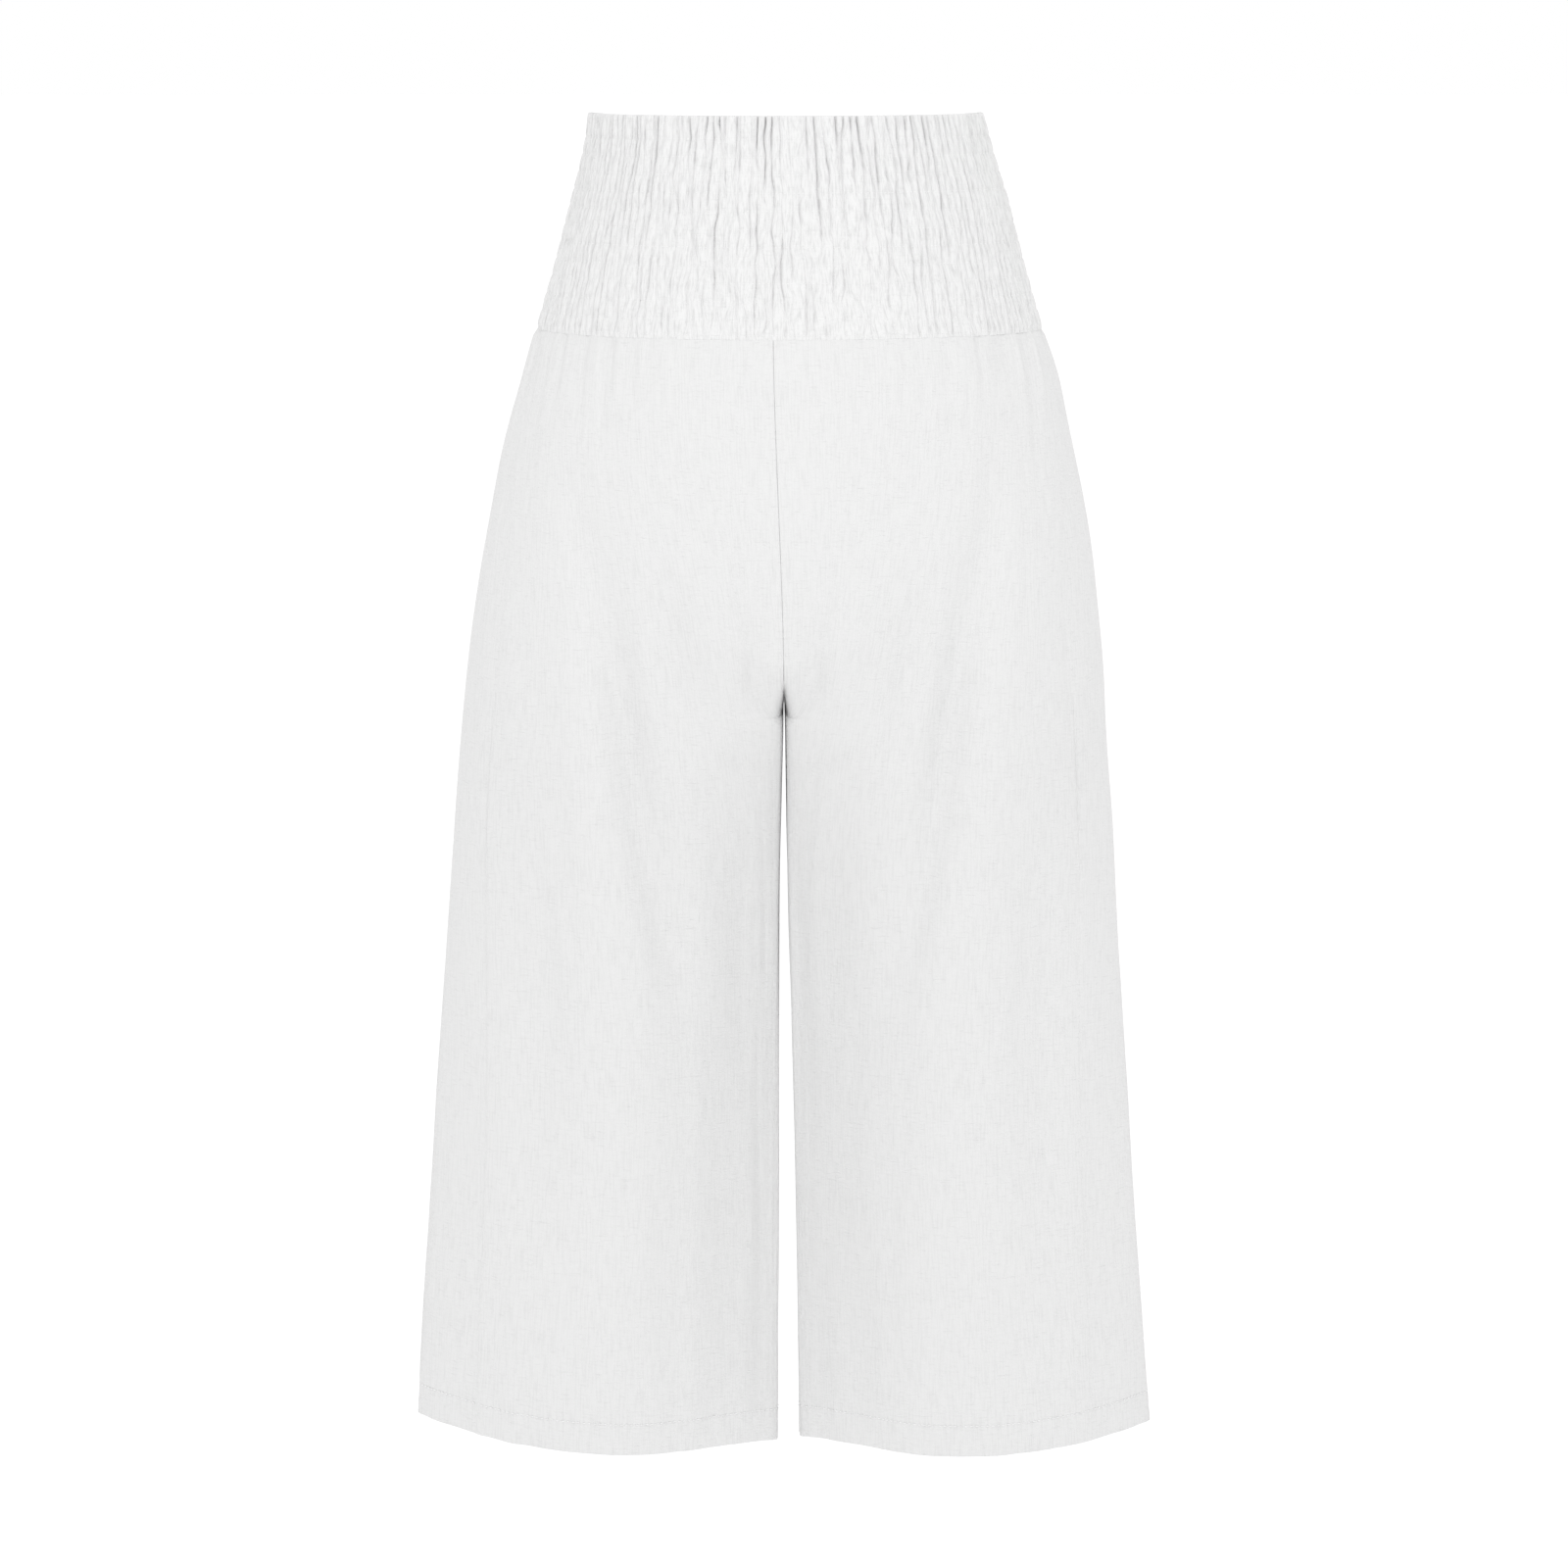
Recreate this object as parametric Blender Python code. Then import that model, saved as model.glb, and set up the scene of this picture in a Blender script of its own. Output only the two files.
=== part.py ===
"""Cropped wide-leg trousers in white crinkled cotton, filled out as they hang when worn, hollow inside.

Six cut pieces make them: a shirred waistband in a back and a front half, and for each leg a back and a
front panel. Each piece is one closed wall of cloth, and neighbours stand 0.3 mm apart along their seams.

Frame: metres, +Z up. The origin is the middle of the waist opening, level with its rim, where the wearer
holds the garment up. The back of the garment faces -Y, the wearer's left is -X.
"""

import math

import bmesh
import bpy
import numpy as np

MM = 0.001

# Cloth
WALL = 1.3 * MM  # crinkled gauze
HEM_WALL = 2.4 * MM  # the same cloth turned up inside the hem
HEM_DEPTH = 21.5 * MM
SEAM_GAP = 0.3 * MM  # kept between neighbouring pieces

# Heights, from the rim down
WAIST_SEAM = -129.7 * MM
CROTCH_START = -320.0 * MM  # where the centre seam begins to turn in under the seat
CROTCH = -355.0 * MM
LONGEST = -827.0 * MM  # the hem at the inner leg
LEG_AXIS = 100.0 * MM  # middle of each leg, from the frame's Z axis
CROTCH_POWER = 2.2  # 2 would bend the crotch seam as a quarter ellipse, more makes it squarer
CROTCH_REACH = math.radians(34)  # how far round the leg the cloth turns in with the crotch seam
THIGH_START = -135.0 * MM  # beyond that it passes slowly from the seat's shape to the leg's
THIGH_END = -480.0 * MM
FULL_EDGES = (0.04, 5.0)  # inner and outer edge of a full leg's section: 0 is square, 5 nearly round
FLAT_EDGES = (3.0, 2.0)  # and of a flat leg's section: 2 is that of a lens, more is flatter
FRONT_DIP = 7.0 * MM  # how much lower the rim is at centre front

# Shirring of the waistband
STITCH_ROWS = 11
FIRST_STITCH = -13.6 * MM
STITCH_PITCH = 10.45 * MM
GATHERS = {"back": 36, "front": 46}
GATHER_SEED = {"back": 7, "front": 11}
GATHER_RISE = 1.3 * MM  # a ridge above the cloth's mean surface
GATHER_FALL = 0.6 * MM  # a valley below it
STITCH_PULL = 0.45 * MM  # how far elastic draws a stitch row in
STITCH_SWELL = 0.45  # share of a gather's height left on a stitch row
BAND_BACKING = 1.7 * MM  # plain inner face below the mean surface
BAND_INNER_ROWS = 7
BAND_INNER_COLUMN = 4  # gather columns to one inner column
RIM_SWELL = 0.8  # share of a gather's height at the rim
LOWEST_SWELL = 0.65  # and between the lowest stitch rows, the highest being 1
COLUMN_WANDER = 0.22  # how far a gather's column strays from its even place, in columns
ROW_WANDER = 0.08  # and how far it strays again from row to row
WEAKEST_GATHER = 0.55  # share of the full height that the weakest gather has

# Grid of a leg panel. Its columns are closer where the folds are: each pair is where a stretch of columns
# starts, from 0 on the centre seam to 1 on the side seam, and how many it has.
SEAT_ROWS = 7
CROTCH_ROWS = 5
LEG_ROWS = 10
PANEL_COLUMNS = {"back": ((0.0, 3), (0.22, 12), (0.88, 1)), "front": ((0.0, 2), (0.13, 12), (0.6, 5))}

CLOTH_COLOUR = (0.85, 0.85, 0.84, 1.0)
CLOTH_ROUGHNESS = 0.9

GATHER_CREASE = math.radians(14)
EDGE_CREASE = math.radians(40)
FOLD_FREE_EDGE = 0.12  # share of a panel's width over which folds die out towards its seams
HEM_STEP = 1.0 * MM  # height of the step where the hem's turn ends inside the leg
PROBE = 1e-4  # small step across a piece, used to find which way its surface runs

SIDES = {"left": -1, "right": 1}


class Table:
    """Rows of millimetres under named columns, read between the rows as smooth curves down column z."""

    def __init__(self, columns, rows):
        values = np.array(rows, dtype=float)
        order = np.argsort(values[:, columns.index("z")])
        self.columns = {name: values[order, i] for i, name in enumerate(columns)}

    def read(self, column, z, scale=MM):
        """Cubic through the rows, level at the two ends, at height z in metres."""
        heights = self.columns["z"] * MM
        values = self.columns[column] * scale
        slopes = np.gradient(values, heights)
        z = np.clip(z, heights[0], heights[-1])
        row = np.clip(np.searchsorted(heights, z) - 1, 0, len(heights) - 2)
        span = heights[row + 1] - heights[row]
        t = (z - heights[row]) / span
        return (
            values[row] * (2 * t**3 - 3 * t**2 + 1)
            + values[row + 1] * (3 * t**2 - 2 * t**3)
            + slopes[row] * span * (t**3 - 2 * t**2 + t)
            + slopes[row + 1] * span * (t**3 - t**2)
        )


# Outer edge of the cloth to each side, and its depth to back and front, from the frame's Z axis
OUTLINE = Table(
    ("z", "left", "right", "back", "front"),
    (
        (0, 116.5, 118.2, 85, 85),
        (-18, 118.9, 123.1, 88, 87),
        (-53, 127.5, 134.0, 95, 91),
        (-89, 137.2, 143.7, 102, 95),
        (-130, 149.0, 156.2, 110, 99),
        (-157, 157.4, 165.7, 115, 101),
        (-193, 169.0, 173.8, 121, 103),
        (-229, 177.1, 181.9, 126, 104),
        (-265, 184.0, 188.2, 128, 104),
        (-301, 189.8, 192.2, 126, 103),
        (-337, 194.4, 195.6, 120, 100),
        (-374, 198.4, 197.8, 111, 97),
        (-447, 204.6, 203.4, 95, 88),
        (-521, 210.2, 208.4, 84, 80),
        (-596, 215.3, 213.5, 76, 74),
        (-671, 220.4, 218.6, 71, 70),
        (-746, 226.2, 224.3, 68, 66),
        (-827, 231.4, 230.8, 65, 63),
    ),
)

# Inner edge of each leg, how far the centre seams lean to the left, and how full a leg's section is at its
# edges: 1 where it bends about the thigh, less where it hangs flat
INSIDE = Table(
    ("z", "left", "right", "lean", "fullness"),
    (
        (0, 0.6, 0.6, 6.5, 1.0),
        (-130, 0.6, 0.6, 6.3, 1.0),
        (-340, 0.6, 0.6, 0.0, 1.0),
        (-355, 0.6, 0.6, 0.0, 0.97),
        (-400, 1.3, 1.1, 0.0, 0.72),
        (-447, 2.4, 1.8, 0.0, 0.48),
        (-558, 3.0, 4.9, 0.0, 0.22),
        (-671, 3.7, 7.3, 0.0, 0.12),
        (-827, 3.7, 9.9, 0.0, 0.1),
    ),
)

# Where the side seams run, in degrees: round the body from centre back, round a leg from its inner edge
SIDE_SEAM = Table(
    ("z", "body", "leg"),
    (
        (0, 82, 142),
        (-130, 76, 142),
        (-190, 71, 142),
        (-280, 64, 142),
        (-370.5, 60, 142),
        (-600, 60, 134),
        (-827, 60, 131),
    ),
)

# The hem's height at the inner and outer edge of each leg, in millimetres
HEM = {"left": {"inner": -827.0, "outer": -810.4}, "right": {"inner": -824.8, "outer": -815.8}}

# Long folds of the legs: straight lines on the back or front, in millimetres.
# width is from the middle to where a fold dies out, depth is inwards and negative for a ridge.
FOLD_COLUMNS = ("half", "top_x", "top_z", "foot_x", "foot_z", "width", "depth")
FOLDS = (
    ("back", -110, -235, -57, -560, 17, 6.5),
    ("back", -74, -255, -50, -385, 13, 4.0),
    ("back", -128, -240, -112, -620, 18, -3.0),
    ("back", -148, -380, -152, -740, 21, 6.0),
    ("back", 113, -235, 62, -560, 17, 6.5),
    ("back", 77, -255, 64, -370, 13, 4.0),
    ("back", 134, -240, 122, -620, 18, -3.0),
    ("back", 148, -380, 172, -760, 21, 6.0),
    ("front", -98, -250, -60, -600, 18, 6.0),
    ("front", -62, -285, -44, -420, 14, 4.0),
    ("front", -140, -340, -150, -730, 21, 5.5),
    ("front", 102, -245, 56, -570, 18, 6.0),
    ("front", 66, -280, 50, -400, 14, 4.0),
    ("front", 143, -360, 158, -760, 21, 5.5),
)


def smooth_step(value):
    """0 to 1 with level ends as value runs from 0 to 1."""
    value = np.clip(value, 0.0, 1.0)
    return value * value * (3 - 2 * value)


def leg_weight(leg_turn, height):
    """0 where the cloth goes round the body, 1 where it goes round a leg.

    leg_turn is the angle from the leg's inner edge. There the centre seam turns in quickly, as the rounded
    corner of the crotch. Further round it comes slowly.
    """
    fall = np.clip((CROTCH_START - height) / (CROTCH_START - CROTCH), 0.0, 1.0)
    quick = 1.0 - (1.0 - fall**CROTCH_POWER) ** (1.0 / CROTCH_POWER)
    slow = smooth_step((THIGH_START - height) / (THIGH_START - THIGH_END))
    outside = smooth_step(leg_turn / CROTCH_REACH)
    return quick + (slow - quick) * outside


def body_ring(side, z, angle):
    """Plan position on the garment round the body, angle 0 at centre back and pi at centre front."""
    sign = SIDES[side]
    centre = -INSIDE.read("lean", z)
    depth = np.where(np.cos(angle) > 0, OUTLINE.read("back", z), OUTLINE.read("front", z))
    x = centre + (sign * OUTLINE.read(side, z) - centre) * np.sin(angle)
    return x, -depth * np.cos(angle)


def leg_ring(side, z, angle):
    """Plan position on the tube round one leg, angle 0 at its inner edge, pi / 2 at the back of the leg.

    Its section is full at the crotch, with a squarish inner edge, and becomes a lens towards the hem, where
    the legs hang flat.
    """
    sign = SIDES[side]
    outer = sign * OUTLINE.read(side, z)
    inner = sign * INSIDE.read(side, z)
    depth = np.where(np.sin(angle) > 0, OUTLINE.read("back", z), OUTLINE.read("front", z))
    x = (outer + inner) / 2 - (outer - inner) / 2 * np.cos(angle)
    fullness = INSIDE.read("fullness", z, 1.0)
    swell = np.abs(np.sin(angle))
    corner = np.where(np.cos(angle) > 0, *FULL_EDGES)
    full = swell * (1 + corner) / (swell + corner)
    flat = swell ** np.where(np.cos(angle) > 0, *FLAT_EDGES)
    return x, -depth * np.sign(np.sin(angle)) * (fullness * full + (1 - fullness) * flat)


def hem_height(side, leg_angle):
    """Height of the hem, which rises from the inner leg to the outer one."""
    hem = HEM[side]
    share = (1 - np.cos(leg_angle)) / 2
    return (hem["inner"] + (hem["outer"] - hem["inner"]) * share) * MM


def panel_surface(side, half, across, height):
    """Smooth outer surface of a leg panel.

    across is 0 on the centre seam and inseam and 1 on the side seam, height is z on a leg as long as the
    longest edge. Heights below the crotch are then drawn up to this leg's own hem.
    """
    body_angle = across * SIDE_SEAM.read("body", height, math.pi / 180)
    leg_angle = across * SIDE_SEAM.read("leg", height, math.pi / 180)
    toward_back = 1
    if half == "front":
        body_angle = math.pi - across * (math.pi - SIDE_SEAM.read("body", height, math.pi / 180))
        leg_angle = 2 * math.pi - across * (2 * math.pi - SIDE_SEAM.read("leg", height, math.pi / 180))
        toward_back = -1
    below = np.minimum(height - CROTCH, 0.0)
    z = height - below + below * (hem_height(side, leg_angle) - CROTCH) / (LONGEST - CROTCH)
    weight = leg_weight(leg_angle if half == "back" else 2 * math.pi - leg_angle, height)
    body_x, body_y = body_ring(side, z, body_angle)
    leg_x, leg_y = leg_ring(side, z, leg_angle)
    pull_back = (1 - across) * SEAM_GAP / 2
    x = (1 - weight) * (body_x + SIDES[side] * pull_back) + weight * leg_x
    y = (1 - weight) * body_y + weight * (leg_y - toward_back * pull_back)
    return np.stack(np.broadcast_arrays(x, y, z), axis=-1)


def fold_depth(half, points, across):
    """How far each point of a panel is pressed in by the long folds, none at the panel's edges."""
    depth = np.zeros(points.shape[:-1])
    for row in FOLDS:
        fold = dict(zip(FOLD_COLUMNS, row))
        if fold["half"] != half:
            continue
        top_x, top_z, foot_x, foot_z = (fold[key] * MM for key in ("top_x", "top_z", "foot_x", "foot_z"))
        along = np.clip((points[..., 2] - top_z) / (foot_z - top_z), 0.0, 1.0)
        off_line = (points[..., 0] - (top_x + (foot_x - top_x) * along)) / (fold["width"] * MM)
        facing = points[..., 1] < 0 if half == "back" else points[..., 1] > 0
        depth += fold["depth"] * MM * np.exp(-(off_line**2)) * np.sin(math.pi * along) * facing
    return depth * smooth_step(np.minimum(across, 1 - across) / FOLD_FREE_EDGE)


def seam_inset(surface_at):
    """Share of each row's width that is half a seam gap, at the side seam where across is 1."""
    ends = surface_at(np.array([[1 - PROBE, 1.0]]))
    speed = np.linalg.norm(ends[:, 1] - ends[:, 0], axis=-1, keepdims=True) / PROBE
    return SEAM_GAP / 2 / speed


def normals_of(surface, sideways, axis_x):
    """Unit normals of a grid of points, pointing away from the upright axis at axis_x."""
    normal = np.cross(sideways, np.gradient(surface, axis=0))
    normal /= np.linalg.norm(normal, axis=-1, keepdims=True)
    from_axis = surface[..., :2] - [axis_x, 0.0]
    return normal if (from_axis * normal[..., :2]).sum() > 0 else -normal


def panel_heights():
    """Heights of a leg panel's rows: even on the seat and leg, closing up where the crotch seam turns."""
    seat = np.linspace(WAIST_SEAM - SEAM_GAP / 2, CROTCH_START, SEAT_ROWS, endpoint=False)
    turn = np.sin(np.linspace(0, math.pi / 2, CROTCH_ROWS + 1)) ** (2 / CROTCH_POWER)
    crotch = CROTCH_START + (CROTCH - CROTCH_START) * turn
    hem_top = LONGEST + HEM_DEPTH
    leg = np.linspace(CROTCH, hem_top + HEM_STEP, LEG_ROWS + 1)[1:]
    return np.concatenate([seat, crotch, leg, [hem_top, LONGEST]])


def panel_columns(half):
    """Places of a panel's columns, from 0 on the centre seam and inseam to 1 on the side seam."""
    stretches = PANEL_COLUMNS[half]
    ends = [start for start, _ in stretches[1:]] + [1.0]
    parts = [np.linspace(start, end, count, endpoint=False) for (start, count), end in zip(stretches, ends)]
    return np.concatenate(parts + [[1.0]])


def leg_panel(side, half):
    """Outer and inner point grids of one leg panel."""
    heights = panel_heights()[:, None]
    columns = panel_columns(half)[None, :]
    across = columns * (1 - seam_inset(lambda at: panel_surface(side, half, at, heights)))

    surface = panel_surface(side, half, across, heights)
    before = panel_surface(side, half, across - PROBE, heights)
    after = panel_surface(side, half, across + PROBE, heights)
    outwards = normals_of(surface, after - before, SIDES[side] * LEG_AXIS)
    outer = surface - outwards * fold_depth(half, surface, across)[..., None]
    thickness = np.where(heights < LONGEST + HEM_DEPTH + HEM_STEP / 2, HEM_WALL, WALL)
    return outer, outer - outwards * thickness[..., None]


def band_point(half, across, z):
    """Mean surface of the waistband, across running 0 to 1 between its side seams."""
    if half == "front":
        lowered = FRONT_DIP * np.sin(math.pi * across) ** 2
        z = z - lowered * (z - WAIST_SEAM) / -WAIST_SEAM
    seam = SIDE_SEAM.read("body", z, math.pi / 180)
    turn = (2 * across - 1) * (seam if half == "back" else math.pi - seam)
    angle = np.abs(turn) if half == "back" else math.pi - np.abs(turn)
    left = np.stack(np.broadcast_arrays(*body_ring("left", z, angle), z), axis=-1)
    right = np.stack(np.broadcast_arrays(*body_ring("right", z, angle), z), axis=-1)
    return np.where((turn < 0)[..., None], left, right)


def band_surface(half, columns, z):
    """Points and outward normals of the waistband's mean surface, drawn back from its side seams."""
    z = z[:, None]
    inset = seam_inset(lambda at: band_point(half, at, z))
    across = inset + columns * (1 - 2 * inset)
    points = band_point(half, across, z)
    sideways = band_point(half, across + PROBE, z) - band_point(half, across - PROBE, z)
    return points, normals_of(points, sideways, 0.0)


def band_rows():
    """Height, gather swell and inward pull of each ring of the waistband, from the rim down."""
    rows = [(0.0, RIM_SWELL, 0.0), (FIRST_STITCH / 2, 1.0, 0.0)]
    for row in range(STITCH_ROWS):
        z = FIRST_STITCH - row * STITCH_PITCH
        fading = 1.0 - (1.0 - LOWEST_SWELL) * row / STITCH_ROWS
        rows.append((z, STITCH_SWELL * fading, STITCH_PULL))
        rows.append((z - STITCH_PITCH / 2, fading, 0.0))
    rows.append((WAIST_SEAM + SEAM_GAP / 2, 0.0, 0.0))
    return np.array(rows)


def waistband(half):
    """Outer and inner point grids of one half of the waistband."""
    rows = band_rows()
    heights, swell, pull = rows[:, 0], rows[:, 1:2], rows[:, 2:3]
    count = 2 * GATHERS[half]
    shape = (len(heights), count + 1)
    random = np.random.default_rng(GATHER_SEED[half])
    spread = random.uniform(-COLUMN_WANDER, COLUMN_WANDER, shape[1])
    spread = spread + random.uniform(-ROW_WANDER, ROW_WANDER, shape)
    spread[:, [0, -1]] = 0.0
    columns = (np.arange(count + 1) + spread) / count
    strength = random.uniform(WEAKEST_GATHER, 1.0, shape[1])[None, :]
    ridge = np.arange(count + 1) % 2 == 1
    relief = np.where(ridge, GATHER_RISE, -GATHER_FALL) * strength * swell - pull
    relief[:, [0, -1]] = 0.0
    points, outwards = band_surface(half, columns, heights)
    outer = points + outwards * relief[..., None]

    inner_heights = np.linspace(heights[0], heights[-1], BAND_INNER_ROWS)
    inner_columns = np.linspace(0, 1, count // BAND_INNER_COLUMN + 1)
    points, outwards = band_surface(half, inner_columns[None, :], inner_heights)
    return outer, points - outwards * BAND_BACKING


def add_sheet(bm, points):
    """One grid of faces with its vertices moved to the given points, returned as a grid of vertices."""
    rows, columns = points.shape[:2]
    made = bmesh.ops.create_grid(bm, x_segments=columns - 1, y_segments=rows - 1, size=1.0)["verts"]
    for vert, place in zip(made, points.reshape(-1, 3)):
        vert.co = place
    return [made[row * columns : (row + 1) * columns] for row in range(rows)]


def close_edge(bm, outer, inner):
    """Joins the outer and inner edges of a wall, which may have different numbers of vertices."""
    i = j = 0
    while i < len(outer) - 1 or j < len(inner) - 1:
        outer_next = (i + 1) / (len(outer) - 1)
        inner_next = (j + 1) / (len(inner) - 1)
        if abs(outer_next - inner_next) < 1e-6:
            bm.faces.new((outer[i], outer[i + 1], inner[j + 1], inner[j]))
            i += 1
            j += 1
        elif outer_next < inner_next:
            bm.faces.new((outer[i], outer[i + 1], inner[j]))
            i += 1
        else:
            bm.faces.new((outer[i], inner[j + 1], inner[j]))
            j += 1


def add_wall(name, outer, inner, material, crease_angle):
    """One closed wall of cloth between its outer and inner point grids, shaded sharp past crease_angle."""
    bm = bmesh.new()
    outside = add_sheet(bm, outer)
    inside = add_sheet(bm, inner)
    close_edge(bm, outside[0], inside[0])
    close_edge(bm, outside[-1], inside[-1])
    close_edge(bm, [row[0] for row in outside], [row[0] for row in inside])
    close_edge(bm, [row[-1] for row in outside], [row[-1] for row in inside])
    bmesh.ops.recalc_face_normals(bm, faces=bm.faces)
    mesh = bpy.data.meshes.new(name)
    bm.to_mesh(mesh)
    bm.free()
    mesh.shade_smooth()
    mesh.set_sharp_from_angle(angle=crease_angle)
    mesh.materials.append(material)
    wall = bpy.data.objects.new(name, mesh)
    bpy.context.scene.collection.objects.link(wall)
    return wall


def cloth_material(name):
    """Matt white cotton."""
    material = bpy.data.materials.new(name)
    material.use_nodes = True
    shader = material.node_tree.nodes["Principled BSDF"]
    shader.inputs["Base Color"].default_value = CLOTH_COLOUR
    shader.inputs["Roughness"].default_value = CLOTH_ROUGHNESS
    shader.inputs["Metallic"].default_value = 0.0
    return material


def main():
    for old in list(bpy.data.objects):
        bpy.data.objects.remove(old, do_unlink=True)
    for half in GATHERS:
        outer, inner = waistband(half)
        name = f"waistband_{half}"
        add_wall(name, outer, inner, cloth_material(f"shirred cotton, {half} waistband"), GATHER_CREASE)
        for side in SIDES:
            outer, inner = leg_panel(side, half)
            name = f"{side}_{half}_leg"
            add_wall(name, outer, inner, cloth_material(f"crinkled cotton, {side} {half} leg"), EDGE_CREASE)


main()
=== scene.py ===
"""Cropped wide-leg trousers in white crinkled cotton gauze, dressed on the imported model.

They hang filled out, as when worn. Each cut piece is one sheet of cloth whose raw edges are rolled inside at
the seams, the rim and the hems, as they are when sewn. The machine stitching lies on the cloth as threads.

Frame: metres, +Z up. The origin is the middle of the waist opening, level with its rim. The back of the
trousers faces -Y, the wearer's left is -X.
"""

from __future__ import annotations

import logging
import math
from abc import ABC, abstractmethod
from collections.abc import Sequence
from dataclasses import dataclass, field
from enum import Enum
from typing import Any

import bmesh
import bpy
import numpy as np
from mathutils import Matrix, Vector
from numpy.typing import NDArray

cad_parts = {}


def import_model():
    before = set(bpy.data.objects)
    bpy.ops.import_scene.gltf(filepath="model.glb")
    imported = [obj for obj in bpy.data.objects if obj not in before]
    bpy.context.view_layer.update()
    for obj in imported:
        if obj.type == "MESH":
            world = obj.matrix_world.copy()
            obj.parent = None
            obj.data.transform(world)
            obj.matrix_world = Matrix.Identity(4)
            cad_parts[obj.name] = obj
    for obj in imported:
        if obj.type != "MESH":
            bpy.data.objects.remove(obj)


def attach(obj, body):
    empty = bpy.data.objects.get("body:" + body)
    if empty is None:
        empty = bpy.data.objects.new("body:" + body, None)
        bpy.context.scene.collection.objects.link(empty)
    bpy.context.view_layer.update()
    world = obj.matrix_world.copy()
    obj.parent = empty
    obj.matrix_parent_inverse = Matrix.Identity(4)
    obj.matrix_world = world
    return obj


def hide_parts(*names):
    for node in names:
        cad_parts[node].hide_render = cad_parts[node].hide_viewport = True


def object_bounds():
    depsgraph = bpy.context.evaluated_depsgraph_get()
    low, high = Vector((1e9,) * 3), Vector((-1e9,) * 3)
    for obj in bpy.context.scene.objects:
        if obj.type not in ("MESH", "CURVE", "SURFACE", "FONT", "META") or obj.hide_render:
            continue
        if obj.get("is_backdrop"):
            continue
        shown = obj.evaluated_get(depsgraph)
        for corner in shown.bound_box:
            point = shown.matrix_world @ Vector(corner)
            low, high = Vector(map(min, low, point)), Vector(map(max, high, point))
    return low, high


LOG = logging.getLogger("trousers")

Array = NDArray[np.float64]

MM = 0.001
PROBE = 1e-4  # small step over a surface, to find which way it runs
CUT_MAP = "cut"  # UV map of each cloth: its place on the flat cut piece, in metres
BODY = "root"


class Side(Enum):
    """Which leg, as the wearer has it."""

    LEFT = "left"
    RIGHT = "right"

    @property
    def sign(self) -> int:
        """-1 for the left leg and 1 for the right, as X runs."""
        return -1 if self is Side.LEFT else 1


class Half(Enum):
    """Back or front of the garment."""

    BACK = "back"
    FRONT = "front"

    @property
    def toward_back(self) -> int:
        """1 for the back half and -1 for the front."""
        return 1 if self is Half.BACK else -1


def smooth_step(value: Array) -> Array:
    """0 to 1 with level ends as value runs from 0 to 1."""
    value = np.clip(value, 0.0, 1.0)
    return value * value * (3 - 2 * value)


# Form of the garment -----------------------------------------------------------------------------


@dataclass(frozen=True)
class HeightTable:
    """Sizes under named columns, one row to a height, read between the rows as smooth curves down column z.

    Lengths are in millimetres and angles in degrees.
    """

    columns: tuple[str, ...]
    rows: tuple[tuple[float, ...], ...]

    def read(self, column: str, z: Array, scale: float = MM) -> Array:
        """Reads one column as a cubic through its rows.

        Args:
            column: the column's name.
            z: heights in metres.
            scale: from the column's unit to the unit wanted.

        Returns:
            The column's value at each height.
        """
        values = np.array(sorted(self.rows, key=lambda row: row[self.columns.index("z")]), dtype=float)
        heights = values[:, self.columns.index("z")] * MM
        curve = values[:, self.columns.index(column)] * scale
        slopes = np.gradient(curve, heights)
        z = np.clip(z, heights[0], heights[-1])
        row = np.clip(np.searchsorted(heights, z) - 1, 0, len(heights) - 2)
        span = heights[row + 1] - heights[row]
        t = (z - heights[row]) / span
        return (
            curve[row] * (2 * t**3 - 3 * t**2 + 1)
            + curve[row + 1] * (3 * t**2 - 2 * t**3)
            + slopes[row] * span * (t**3 - 2 * t**2 + t)
            + slopes[row + 1] * span * (t**3 - t**2)
        )


# Outer edge of the cloth to each side, and its depth to back and front, from the frame's Z axis
OUTLINE = HeightTable(
    ("z", "left", "right", "back", "front"),
    (
        (0, 116.5, 118.2, 85, 85),
        (-18, 118.9, 123.1, 88, 87),
        (-53, 127.5, 134.0, 95, 91),
        (-89, 137.2, 143.7, 102, 95),
        (-130, 149.0, 156.2, 110, 99),
        (-157, 157.4, 165.7, 115, 101),
        (-193, 169.0, 173.8, 121, 103),
        (-229, 177.1, 181.9, 126, 104),
        (-265, 184.0, 188.2, 128, 104),
        (-301, 189.8, 192.2, 126, 103),
        (-337, 194.4, 195.6, 120, 100),
        (-374, 198.4, 197.8, 111, 97),
        (-447, 204.6, 203.4, 95, 88),
        (-521, 210.2, 208.4, 84, 80),
        (-596, 215.3, 213.5, 76, 74),
        (-671, 220.4, 218.6, 71, 70),
        (-746, 226.2, 224.3, 68, 66),
        (-827, 231.4, 230.8, 65, 63),
    ),
)

# Inner edge of each leg, closed down to the crotch, how far the centre seams lean to the left, and how full
# a leg's section is at its edges
INSIDE = HeightTable(
    ("z", "left", "right", "lean", "fullness"),
    (
        (0, 0.0, 0.0, 6.5, 1.0),
        (-130, 0.0, 0.0, 6.3, 1.0),
        (-340, 0.0, 0.0, 0.0, 1.0),
        (-355, 0.2, 0.2, 0.0, 0.97),
        (-400, 1.3, 1.1, 0.0, 0.72),
        (-447, 2.4, 1.8, 0.0, 0.48),
        (-558, 3.0, 4.9, 0.0, 0.22),
        (-671, 3.7, 7.3, 0.0, 0.12),
        (-827, 3.7, 9.9, 0.0, 0.1),
    ),
)

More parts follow.
